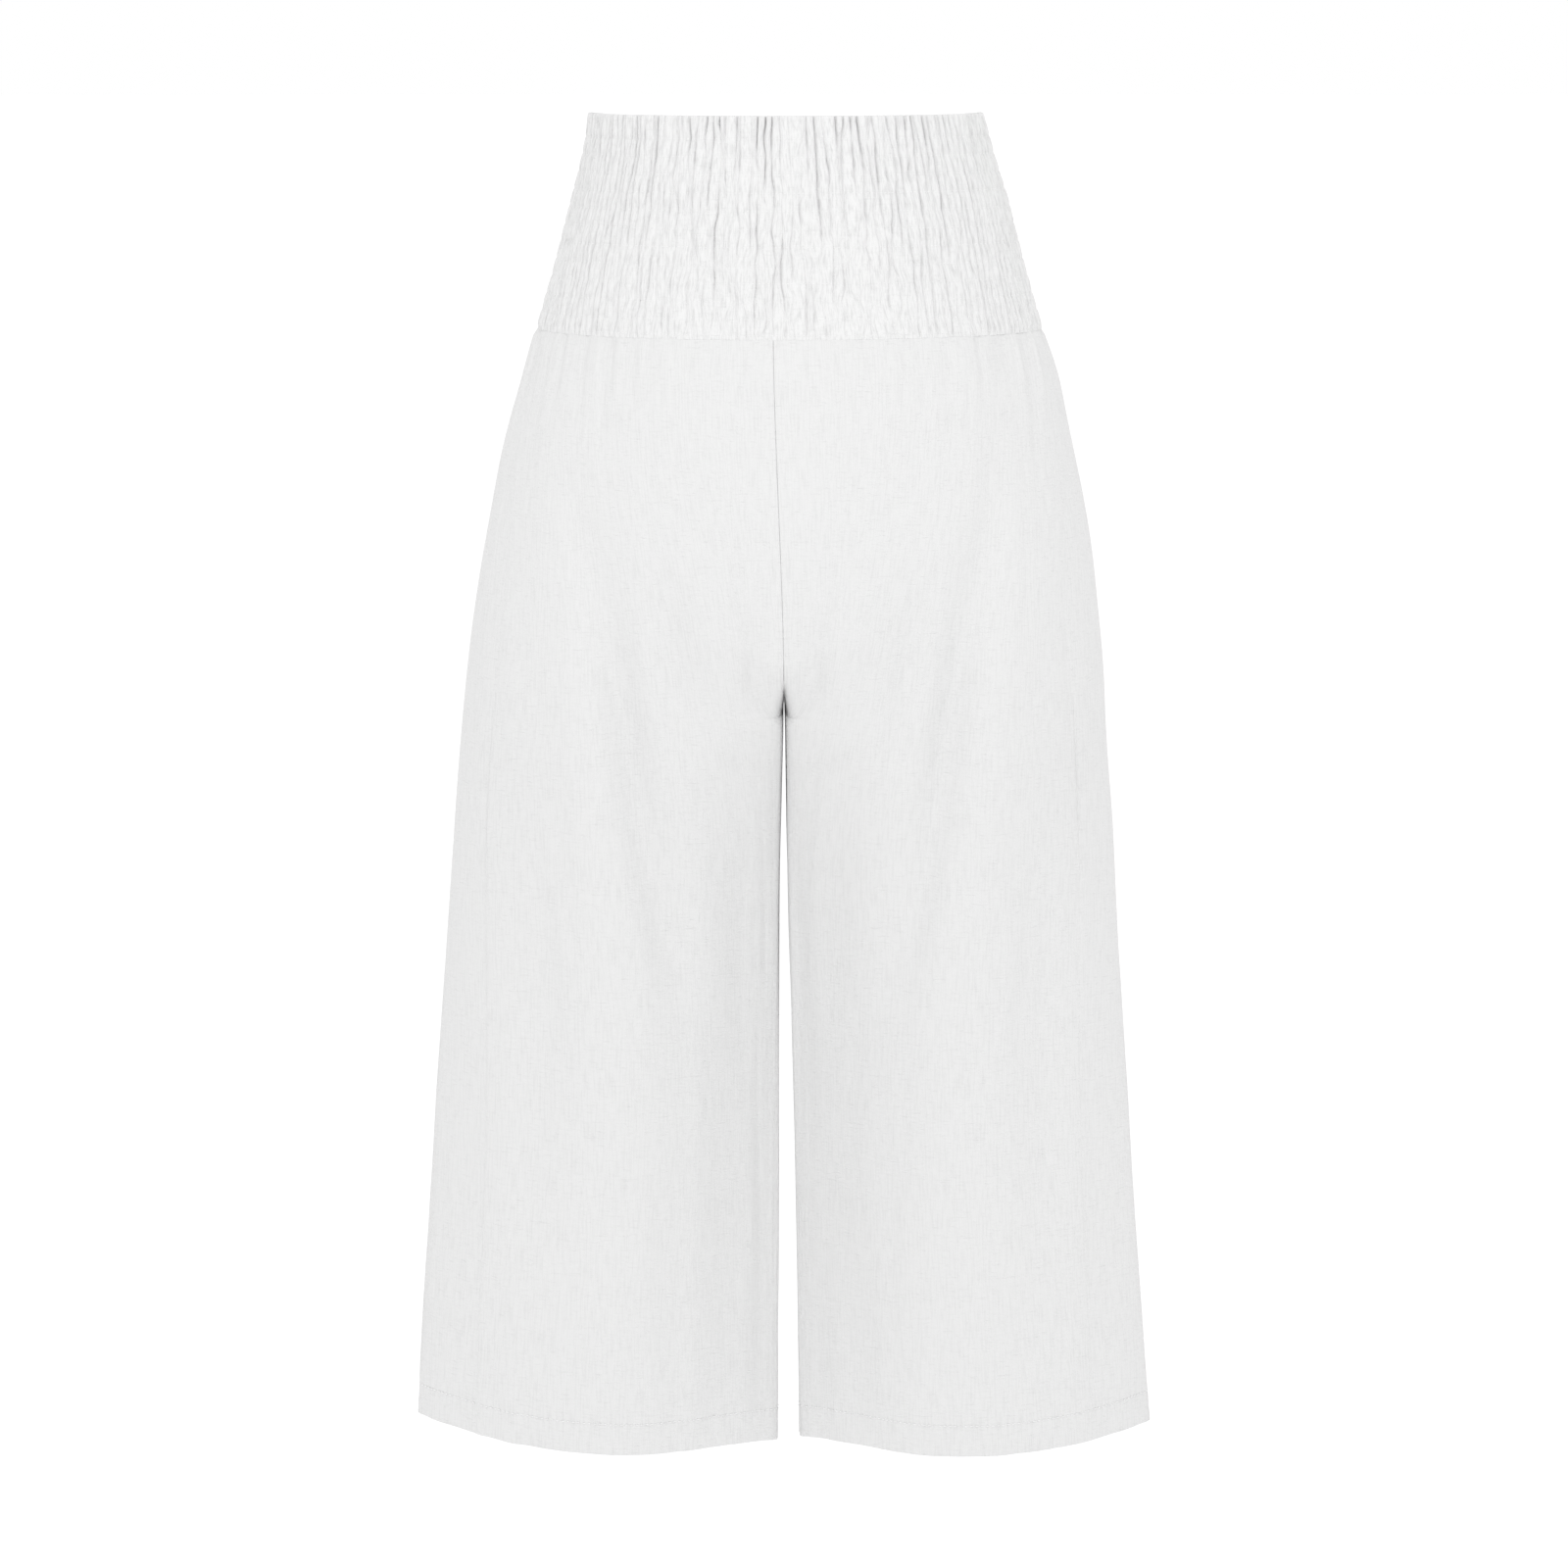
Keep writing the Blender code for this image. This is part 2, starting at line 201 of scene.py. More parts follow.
# Where the side seams run, in degrees: round the body from centre back, round a leg from its inner edge
SIDE_SEAM = HeightTable(
    ("z", "body", "leg"),
    (
        (0, 82, 142),
        (-130, 76, 142),
        (-190, 71, 142),
        (-280, 64, 142),
        (-370.5, 60, 142),
        (-600, 60, 134),
        (-827, 60, 131),
    ),
)


@dataclass(frozen=True)
class Form:
    """The shape that the cloth is cut and hung to.

    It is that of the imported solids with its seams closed, save that the crotch's corner is tighter, the
    cloth is drawn in a little about it, and the rim's corners at the side seams are rounded.
    """

    outline: HeightTable = OUTLINE
    inside: HeightTable = INSIDE
    side_seam: HeightTable = SIDE_SEAM
    waist_seam: float = -129.7 * MM
    crotch_start: float = -320.0 * MM  # where the centre seam begins to turn in under the seat
    crotch: float = -355.0 * MM
    longest: float = -827.0 * MM  # the hem at the inner leg
    hem_inner: tuple[float, float] = (-827.0 * MM, -824.8 * MM)  # left and right leg
    hem_outer: tuple[float, float] = (-810.4 * MM, -815.8 * MM)
    full_edges: tuple[float, float] = (0.022, 5.0)  # inner and outer edge of a full section: 0 is square
    flat_edges: tuple[float, float] = (3.0, 2.0)  # and of a flat one: 2 is that of a lens
    leg_axis: float = 100.0 * MM  # middle of each leg, from the frame's Z axis
    crotch_power: float = 2.2  # 2 would bend the crotch seam as a quarter ellipse, more makes it squarer
    crotch_reach: float = math.radians(34)  # how far round the leg the cloth turns in with the crotch seam
    thigh_start: float = -135.0 * MM  # beyond that it passes slowly from the seat's shape to the leg's
    thigh_end: float = -480.0 * MM
    hollow_share: float = 0.06  # of the depth, by which the cloth is drawn in about the crotch
    hollow_width: float = 44.0 * MM  # from the middle to either side
    hollow_top: float = 48.0 * MM  # above the crotch, where the cloth starts to be drawn in
    hollow_rise: float = 44.0 * MM  # down from there, over which it comes to its full share
    hollow_foot: float = 15.0 * MM  # below the crotch, where it starts to die out
    hollow_fall: float = 110.0 * MM  # down from there, over which it does so
    front_dip: float = 7.0 * MM  # how much lower the rim is at centre front
    side_dip: float = 1.6 * MM  # and at the side seams, where its corner is rounded
    side_dip_reach: float = 0.03  # share of the half band's width

    def leg_weight(self, leg_turn: Array, height: Array) -> Array:
        """How far the cloth follows a leg instead of the body.

        Args:
            leg_turn: angle in radians from the leg's inner edge, either way round.
            height: z in metres.

        Returns:
            0 where the cloth goes round the body, 1 where it goes round a leg.
        """
        fall = np.clip((self.crotch_start - height) / (self.crotch_start - self.crotch), 0.0, 1.0)
        quick = 1.0 - (1.0 - fall**self.crotch_power) ** (1.0 / self.crotch_power)
        slow = smooth_step((self.thigh_start - height) / (self.thigh_start - self.thigh_end))
        outside = smooth_step(leg_turn / self.crotch_reach)
        return quick + (slow - quick) * outside

    def hollow(self, x: Array, height: Array) -> Array:
        """How much the cloth is drawn in about the crotch, on the seat and the inner legs.

        Args:
            x: metres from the frame's Z axis.
            height: z in metres.

        Returns:
            Share of the depth that is lost.
        """
        above = smooth_step((self.crotch + self.hollow_top - height) / self.hollow_rise)
        below = 1 - smooth_step((self.crotch - self.hollow_foot - height) / self.hollow_fall)
        return self.hollow_share * above * below * np.exp(-((x / self.hollow_width) ** 2))

    def body_ring(self, side: Side, z: Array, angle: Array) -> tuple[Array, Array]:
        """Plan position on the garment where it goes round the body.

        Args:
            side: the half of the body.
            z: heights in metres.
            angle: 0 at centre back and pi at centre front.

        Returns:
            x and y in metres.
        """
        centre = -self.inside.read("lean", z)
        depth = np.where(np.cos(angle) > 0, self.outline.read("back", z), self.outline.read("front", z))
        x = centre + (side.sign * self.outline.read(side.value, z) - centre) * np.sin(angle)
        return x, -depth * np.cos(angle)

    def leg_ring(self, side: Side, z: Array, angle: Array) -> tuple[Array, Array]:
        """Plan position on the tube round one leg.

        Args:
            side: the leg.
            z: heights in metres.
            angle: 0 at the leg's inner edge and pi / 2 at its back.

        Returns:
            x and y in metres.
        """
        outer = side.sign * self.outline.read(side.value, z)
        inner = side.sign * self.inside.read(side.value, z)
        depth = np.where(np.sin(angle) > 0, self.outline.read("back", z), self.outline.read("front", z))
        x = (outer + inner) / 2 - (outer - inner) / 2 * np.cos(angle)
        fullness = self.inside.read("fullness", z, 1.0)
        swell = np.abs(np.sin(angle))
        corner = np.where(np.cos(angle) > 0, *self.full_edges)
        full = swell * (1 + corner) / (swell + corner)
        flat = swell ** np.where(np.cos(angle) > 0, *self.flat_edges)
        return x, -depth * np.sign(np.sin(angle)) * (fullness * full + (1 - fullness) * flat)

    def hem_height(self, side: Side, leg_angle: Array) -> Array:
        """Height of the hem, which rises from the inner edge of a leg to the outer one.

        Args:
            side: the leg.
            leg_angle: 0 at the leg's inner edge and pi at the outer one.

        Returns:
            z in metres.
        """
        leg = 0 if side is Side.LEFT else 1
        share = (1 - np.cos(leg_angle)) / 2
        return self.hem_inner[leg] + (self.hem_outer[leg] - self.hem_inner[leg]) * share

    def panel_point(self, side: Side, half: Half, across: Array, height: Array) -> Array:
        """Smooth face of a leg panel.

        Args:
            side: the leg.
            half: back or front panel.
            across: 0 on the centre seam and inseam, 1 on the side seam.
            height: z on a leg as long as the longest edge, drawn up to this leg's hem below the crotch.

        Returns:
            Points in metres, in the frame.
        """
        body_seam = self.side_seam.read("body", height, math.pi / 180)
        leg_seam = self.side_seam.read("leg", height, math.pi / 180)
        if half is Half.BACK:
            body_angle, leg_angle = across * body_seam, across * leg_seam
            leg_turn = leg_angle
        else:
            body_angle = math.pi - across * (math.pi - body_seam)
            leg_turn = across * (2 * math.pi - leg_seam)
            leg_angle = 2 * math.pi - leg_turn
        below = np.minimum(height - self.crotch, 0.0)
        drawn = (self.hem_height(side, leg_angle) - self.crotch) / (self.longest - self.crotch)
        z = height - below + below * drawn
        weight = self.leg_weight(leg_turn, height)
        body_x, body_y = self.body_ring(side, z, body_angle)
        leg_x, leg_y = self.leg_ring(side, z, leg_angle)
        x = (1 - weight) * body_x + weight * leg_x
        y = (1 - weight) * body_y + weight * leg_y
        y = y * (1 - self.hollow(x, height))
        return np.stack(np.broadcast_arrays(x, y, z), axis=-1)

    def band_point(self, half: Half, across: Array, z: Array) -> Array:
        """Smooth face of one half of the waistband.

        Args:
            half: back or front.
            across: 0 on the wearer's left side seam, 1 on the right one.
            z: height in metres.

        Returns:
            Points in metres, in the frame.
        """
        lowered = self.side_dip * np.exp(-((np.minimum(across, 1 - across) / self.side_dip_reach) ** 2))
        if half is Half.FRONT:
            lowered = lowered + self.front_dip * np.sin(math.pi * across) ** 2
        z = z - lowered * (z - self.waist_seam) / -self.waist_seam
        seam = self.side_seam.read("body", z, math.pi / 180)
        turn = (2 * across - 1) * (seam if half is Half.BACK else math.pi - seam)
        angle = np.abs(turn) if half is Half.BACK else math.pi - np.abs(turn)
        left = np.stack(np.broadcast_arrays(*self.body_ring(Side.LEFT, z, angle), z), axis=-1)
        right = np.stack(np.broadcast_arrays(*self.body_ring(Side.RIGHT, z, angle), z), axis=-1)
        return np.where((turn < 0)[..., None], left, right)


# Relief of the cloth -----------------------------------------------------------------------------


@dataclass(frozen=True)
class Crinkle:
    """One layer of irregular upright creases that stay in the cloth after it is washed."""

    width: float  # across a crease
    length: float  # along it
    height: float  # from the mean face to a crest
    lattice: int = 512  # random values each way, before the creases repeat

    def relief(self, seed: int, across: Array, along: Array) -> Array:
        """Height of the creases over the mean face.

        Args:
            seed: makes each piece of cloth different.
            across: metres across the cloth.
            along: metres down it.

        Returns:
            Outward displacement in metres.
        """
        random = np.random.default_rng(seed)
        values = random.uniform(-1.0, 1.0, (self.lattice, self.lattice))
        shifts = random.uniform(0.0, self.lattice, self.lattice)
        row = np.floor(along / self.length).astype(int)
        blend = smooth_step(along / self.length - row)
        wave = np.zeros(np.broadcast(across, along).shape)
        for step, share in ((0, 1 - blend), (1, blend)):
            here = (row + step) % self.lattice
            place = across / self.width + shifts[here]
            column = np.floor(place).astype(int)
            between = smooth_step(place - column)
            low = values[here, column % self.lattice]
            high = values[here, (column + 1) % self.lattice]
            wave = wave + share * (low * (1 - between) + high * between)
        return self.height * wave


@dataclass(frozen=True)
class Fold:
    """One long soft fold of a leg, pressed in along a straight line, in millimetres."""

    half: Half
    top_x: float
    top_z: float
    foot_x: float
    foot_z: float
    width: float  # from the middle of the fold to where it dies out
    depth: float  # inwards, negative for a ridge

    def depth_at(self, half: Half, points: Array) -> Array:
        """How far this fold presses the cloth in.

        Args:
            half: back or front panel.
            points: places on the panel's smooth face, in metres.

        Returns:
            Inward displacement of each point in metres.
        """
        top_z, foot_z = self.top_z * MM, self.foot_z * MM
        along = np.clip((points[..., 2] - top_z) / (foot_z - top_z), 0.0, 1.0)
        line_x = (self.top_x + (self.foot_x - self.top_x) * along) * MM
        off_line = (points[..., 0] - line_x) / (self.width * MM)
        facing = points[..., 1] * half.toward_back < 0
        press = self.depth * MM * np.exp(-(off_line**2)) * np.sin(math.pi * along) * facing
        return press if half is self.half else np.zeros_like(press)


# The folds that the solids have too
MAIN_FOLDS = (
    Fold(Half.BACK, -110, -235, -57, -560, 17, 6.5),
    Fold(Half.BACK, -74, -255, -50, -385, 13, 4.0),
    Fold(Half.BACK, -128, -240, -112, -620, 18, -3.0),
    Fold(Half.BACK, -148, -380, -152, -740, 21, 6.0),
    Fold(Half.BACK, 113, -235, 62, -560, 17, 6.5),
    Fold(Half.BACK, 77, -255, 64, -370, 13, 4.0),
    Fold(Half.BACK, 134, -240, 122, -620, 18, -3.0),
    Fold(Half.BACK, 148, -380, 172, -760, 21, 6.0),
    Fold(Half.FRONT, -98, -250, -60, -600, 18, 6.0),
    Fold(Half.FRONT, -62, -285, -44, -420, 14, 4.0),
    Fold(Half.FRONT, -140, -340, -150, -730, 21, 5.5),
    Fold(Half.FRONT, 102, -245, 56, -570, 18, 6.0),
    Fold(Half.FRONT, 66, -280, 50, -400, 14, 4.0),
    Fold(Half.FRONT, 143, -360, 158, -760, 21, 5.5),
)

# Narrower folds along and between them, and the soft flutes of the lower legs, which run out over the hem
SMALL_FOLDS = (
    Fold(Half.BACK, -129, -190, -60, -550, 11, 5.5),
    Fold(Half.BACK, -77, -265, -60, -410, 8, 3.6),
    Fold(Half.BACK, 129, -190, 68, -550, 11, 5.5),
    Fold(Half.BACK, 84, -270, 60, -410, 8, 3.6),
    Fold(Half.BACK, -146, -400, -127, -575, 6, -1.5),
    Fold(Half.BACK, 149, -395, 133, -570, 6, -1.5),
    Fold(Half.BACK, -30, -430, -22, -620, 9, 1.2),
    Fold(Half.BACK, 58, -335, 72, -395, 8, 1.4),
    Fold(Half.BACK, -70, -620, -66, -900, 12, 1.6),
    Fold(Half.BACK, -112, -640, -118, -900, 10, 1.2),
    Fold(Half.BACK, -165, -650, -176, -900, 8, -1.4),
    Fold(Half.BACK, 46, -600, 52, -900, 12, 1.4),
    Fold(Half.BACK, 96, -620, 104, -900, 12, 1.5),
    Fold(Half.BACK, 178, -640, 190, -900, 8, -1.4),
    Fold(Half.BACK, 140, -700, 146, -900, 8, 1.0),
    Fold(Half.FRONT, -80, -600, -78, -900, 13, 1.8),
    Fold(Half.FRONT, -120, -560, -128, -900, 12, 1.6),
    Fold(Half.FRONT, 84, -600, 90, -900, 13, 1.8),
    Fold(Half.FRONT, 124, -560, 134, -900, 12, 1.6),
)


@dataclass(frozen=True)
class ElasticRows:
    """Where the rows of elastic thread draw the waistband in."""

    count: int = 11
    first: float = -13.6 * MM
    pitch: float = 10.45 * MM
    pull: float = 0.16 * MM  # how far a row is drawn in
    reach: float = 1.1 * MM  # how far above and below a row the cloth is drawn in with it

    def level(self, height: Array) -> Array:
        """Place down the rows: 0 on the first row, 1 on the second."""
        return (self.first - height) / self.pitch

    def drawn_in(self, height: Array) -> Array:
        """How near the elastic rows a height lies.

        Args:
            height: z in metres.

        Returns:
            1 on a row, falling to 0 between the rows.
        """
        row = np.clip(np.round(self.level(height)), 0, self.count - 1)
        off_row = (self.first - row * self.pitch) - height
        return np.exp(-((off_row / self.reach) ** 2))

    def heights(self) -> Array:
        """Height of each row, from the top."""
        return self.first - np.arange(self.count) * self.pitch


@dataclass(frozen=True)
class Gathers:
    """Upright puffs of cloth between narrow valleys, drawn up by the elastic rows.

    Valley number n lies where across times the count is n, and strays to the side from row to row.
    """

    count: int
    seed: int
    rows: ElasticRows
    puff: float = 2.5 * MM  # height of a puff over the valleys beside it
    sunk: float = 0.6  # share of it that lies below the mean face
    side_fullness: float = 1.0  # how much higher the puffs are at the side seams
    valley: float = 2.2 * MM  # how much deeper the deepest valleys are
    mouth: float = 0.18  # from the middle of a valley to its edge, in gathers
    shallowest: float = 0.3  # depth of the shallowest valleys, in puffs
    sharpness: float = 3.5  # above 1 the valleys are narrower than the puffs
    drift: float = 0.3  # how far a valley strays from its even place, in gathers
    keep: float = 0.5  # share of its stray and depth that a valley keeps from one row to the next
    spread: float = 1.7  # widens what that leaves of the strays and depths
    unevenness: float = 2.0  # above 1 most valleys are shallow and a few are deep
    side_evenness: float = 0.8  # share of the unevenness that is lost towards the side seams
    row_flattening: float = 0.25  # share of the relief that an elastic row takes away
    lowest: float = 0.34  # share of the relief left at the lowest row, in the middle
    side_lowest: float = 0.9  # and at the side seams

    def _walk(self, seed: int) -> Array:
        """Values for each row and valley that change slowly down the rows.

        Args:
            seed: makes each set of values different.

        Returns:
            A table of rows by valleys, from 0 to 1.
        """
        random = np.random.default_rng(seed)
        values = random.uniform(0.0, 1.0, (self.rows.count + 3, self.count + 2))
        for row in range(1, len(values)):
            values[row] = self.keep * values[row - 1] + (1 - self.keep) * values[row]
        return np.clip(0.5 + (values - 0.5) * self.spread, 0.0, 1.0)

    @staticmethod
    def _between(values: Array, level: Array, column: Array) -> Array:
        """Reads a table at places between its entries, with level ends at each entry.

        Args:
            values: rows by columns.
            level: place down the rows.
            column: place along the columns.

        Returns:
            The values there.
        """
        row = np.clip(np.floor(level).astype(int), 0, values.shape[0] - 2)
        down = smooth_step(level - row)
        left = np.clip(np.floor(column).astype(int), 0, values.shape[1] - 2)
        aside = smooth_step(column - left)
        upper = values[row, left] * (1 - aside) + values[row, left + 1] * aside
        lower = values[row + 1, left] * (1 - aside) + values[row + 1, left + 1] * aside
        return upper * (1 - down) + lower * down

    def strayed(self, across: Array, height: Array) -> Array:
        """Where the cloth of the even gathers really lies, as its valleys stray.

        Args:
            across: 0 to 1 over the half band, with even gathers.
            height: z in metres.

        Returns:
            Place from 0 to 1 over the half band.
        """
        level = np.broadcast_to(self.rows.level(height) + 1, np.broadcast(across, height).shape)
        stray = self._between(self._walk(self.seed), level, across * self.count) - 0.5
        held = smooth_step(np.minimum(across, 1 - across) * self.count / 2)
        return across + 2 * self.drift * stray * held / self.count

    def relief(self, across: Array, height: Array) -> Array:
        """Relief of the gathered cloth.

        Args:
            across: 0 to 1 over the half band, with even gathers.
            height: z in metres.

        Returns:
            Outward displacement from the band's mean face, in metres.
        """
        level = np.broadcast_to(self.rows.level(height) + 1, np.broadcast(across, height).shape)
        place = across * self.count
        nearest = np.round(place)
        from_valley = np.abs(place - nearest)
        sideward = (2 * across - 1) ** 2
        power = self.unevenness * (1 - self.side_evenness * sideward)
        depth = self._between(self._walk(self.seed + 1), level, nearest) ** power
        left_over = self.lowest + (self.side_lowest - self.lowest) * sideward
        fading = 1 - (1 - left_over) * np.clip(level / self.rows.count, 0, 1)
        flattened = 1 - self.row_flattening * self.rows.drawn_in(height)
        size = self.puff * (1 + self.side_fullness * sideward)
        cut_in = self.shallowest + (1 - self.shallowest) * depth
        puff = size * (1 - self.sunk - cut_in * (1 - 2 * from_valley) ** self.sharpness)
        pressed = self.valley * depth * np.clip(1 - from_valley / self.mouth, 0, 1) ** 2
        return (puff - pressed) * fading * flattened - self.rows.pull * self.rows.drawn_in(height)


# Making cloth and thread -------------------------------------------------------------------------


@dataclass(frozen=True)
class EdgeRoll:
    """A cloth edge rolled inside, with the cloth beyond it laid flat behind the face."""

    radius: float  # of the roll
    lap: float  # width of the cloth that lies behind
    lap_steps: int  # rows or columns of faces on the lap
    roll_steps: int = 5  # and on the roll
    press: float = 0.0  # how far the roll is pressed into that of the next piece

    def profile(self) -> tuple[Array, Array]:
        """The roll from the raw edge to where the face starts.

        Returns:
            Distances from the finished edge, and depths below the face, in metres.
        """
        turn = np.linspace(math.pi, 0.0, self.roll_steps + 1)
        lap = np.linspace(self.radius + self.lap, self.radius, self.lap_steps, endpoint=False)
        distance = np.concatenate([lap, self.radius * (1 - np.sin(turn))]) - self.press
        depth = np.concatenate([np.full(self.lap_steps, 2 * self.radius), self.radius * (1 - np.cos(turn))])
        return distance, depth


@dataclass(frozen=True)
class Cut:
    """The flat piece that one sheet was cut to, in metres, and how the cloth is held in shape."""

    width: float
    length: float
    area: float
    held: str  # how the cloth is held in shape


def link(piece: bpy.types.Object) -> bpy.types.Object:
    """Adds an object to the scene."""
    bpy.context.scene.collection.objects.link(piece)
    return piece


def cloth_grid(name: str, points: Array, outward: Array, cut: Array) -> bpy.types.Object:
    """One smooth sheet of faces through a grid of points.

    Args:
        name: the object's name.
        points: rows by columns by three, in metres.
        outward: unit vectors away from the body, one to a point.
        cut: each point's place on the flat cut piece, in metres.

    Returns:
        The linked object.
    """
    rows, columns = points.shape[:2]
    bm = bmesh.new()
    made = bmesh.ops.create_grid(bm, x_segments=columns - 1, y_segments=rows - 1, size=1.0)["verts"]
    for vert, place in zip(made, points.reshape(-1, 3)):
        vert.co = place
    bm.normal_update()
    middle = made[(rows // 2) * columns + columns // 2]
    if middle.normal.dot(Vector(outward[rows // 2, columns // 2])) < 0:
        bmesh.ops.reverse_faces(bm, faces=bm.faces)
    layer = bm.loops.layers.uv.new(CUT_MAP)
    flat = cut.reshape(-1, 2)
    bm.verts.index_update()
    for face in bm.faces:
        for corner in face.loops:
            corner[layer].uv = flat[corner.vert.index]
    mesh = bpy.data.meshes.new(name)
    bm.to_mesh(mesh)
    bm.free()
    mesh.shade_smooth()
    return link(bpy.data.objects.new(name, mesh))


@dataclass(frozen=True)
class Stitching:
    """Machine stitches lying on the cloth in rows, each one a small spindle of thread."""

    length: float = 2.0 * MM
    gap: float = 1.3 * MM
    width: float = 0.85 * MM
    rise: float = 0.3 * MM  # how far a stitch's middle lies over the cloth's face
    sides: int = 5
    rings: int = 4

    def _spindle(self) -> tuple[Array, list[list[int]]]:
        """One stitch along X, a unit long, wide and thick.

        Returns:
            Its points, and its faces as lists of their numbers.
        """
        bm = bmesh.new()
        bmesh.ops.create_uvsphere(bm, u_segments=self.sides, v_segments=self.rings, radius=0.5)
        bmesh.ops.rotate(bm, verts=bm.verts, matrix=Matrix.Rotation(math.pi / 2, 3, "Y"))
        bm.verts.index_update()
        points = np.array([vert.co[:] for vert in bm.verts])
        faces = [[vert.index for vert in face.verts] for face in bm.faces]
        bm.free()
        return points, faces

    def _places(self, path: Array, outward: Array) -> tuple[Array, Array, Array, Array]:
        """Where the stitches of one row lie.

        Args:
            path: points that the row follows, in metres.
            outward: unit vectors away from the body, one to a point.

        Returns:
            Middle of each stitch, and its length, width and thickness as vectors.
        """
        run = np.linalg.norm(np.diff(path, axis=0), axis=1)
        reached = np.concatenate([[0.0], np.cumsum(run)])
        pitch = self.length + self.gap
        starts = np.arange(0.5 * self.gap, reached[-1] - self.length, pitch)

        def at(distance: Array, values: Array) -> Array:
            """Vectors at distances along the path."""
            return np.stack([np.interp(distance, reached, values[:, axis]) for axis in range(3)], axis=-1)

        start, end = at(starts, path), at(starts + self.length, path)
        out = at(starts + self.length / 2, outward)
        along = end - start
        aside = np.cross(out, along)
        aside *= self.width / np.linalg.norm(aside, axis=-1, keepdims=True)
        middle = (start + end) / 2 + out * self.rise
        return middle, along, aside, out * self.width

    def lay(self, name: str, rows: Sequence[tuple[Array, Array]]) -> bpy.types.Object:
        """Lays rows of stitches as one piece.

        Args:
            name: the object's name.
            rows: for each row, the points that it follows on the cloth's face and the outward vectors there.

        Returns:
            The linked object.
        """
        spindle, faces = self._spindle()
        stitches = []
        for path, outward in rows:
            middle, along, aside, out = self._places(path, outward)
            body = np.stack([along, aside, out], axis=1)
            stitches.append(middle[:, None] + np.einsum("pa,naj->npj", spindle, body))
        points = np.concatenate(stitches)
        firsts = range(0, len(points) * len(spindle), len(spindle))
        joined = [[first + corner for corner in face] for first in firsts for face in faces]
        mesh = bpy.data.meshes.new(name)
        mesh.from_pydata(points.reshape(-1, 3).tolist(), [], joined)
        mesh.shade_smooth()
        return link(bpy.data.objects.new(name, mesh))


# Cut pieces --------------------------------------------------------------------------------------


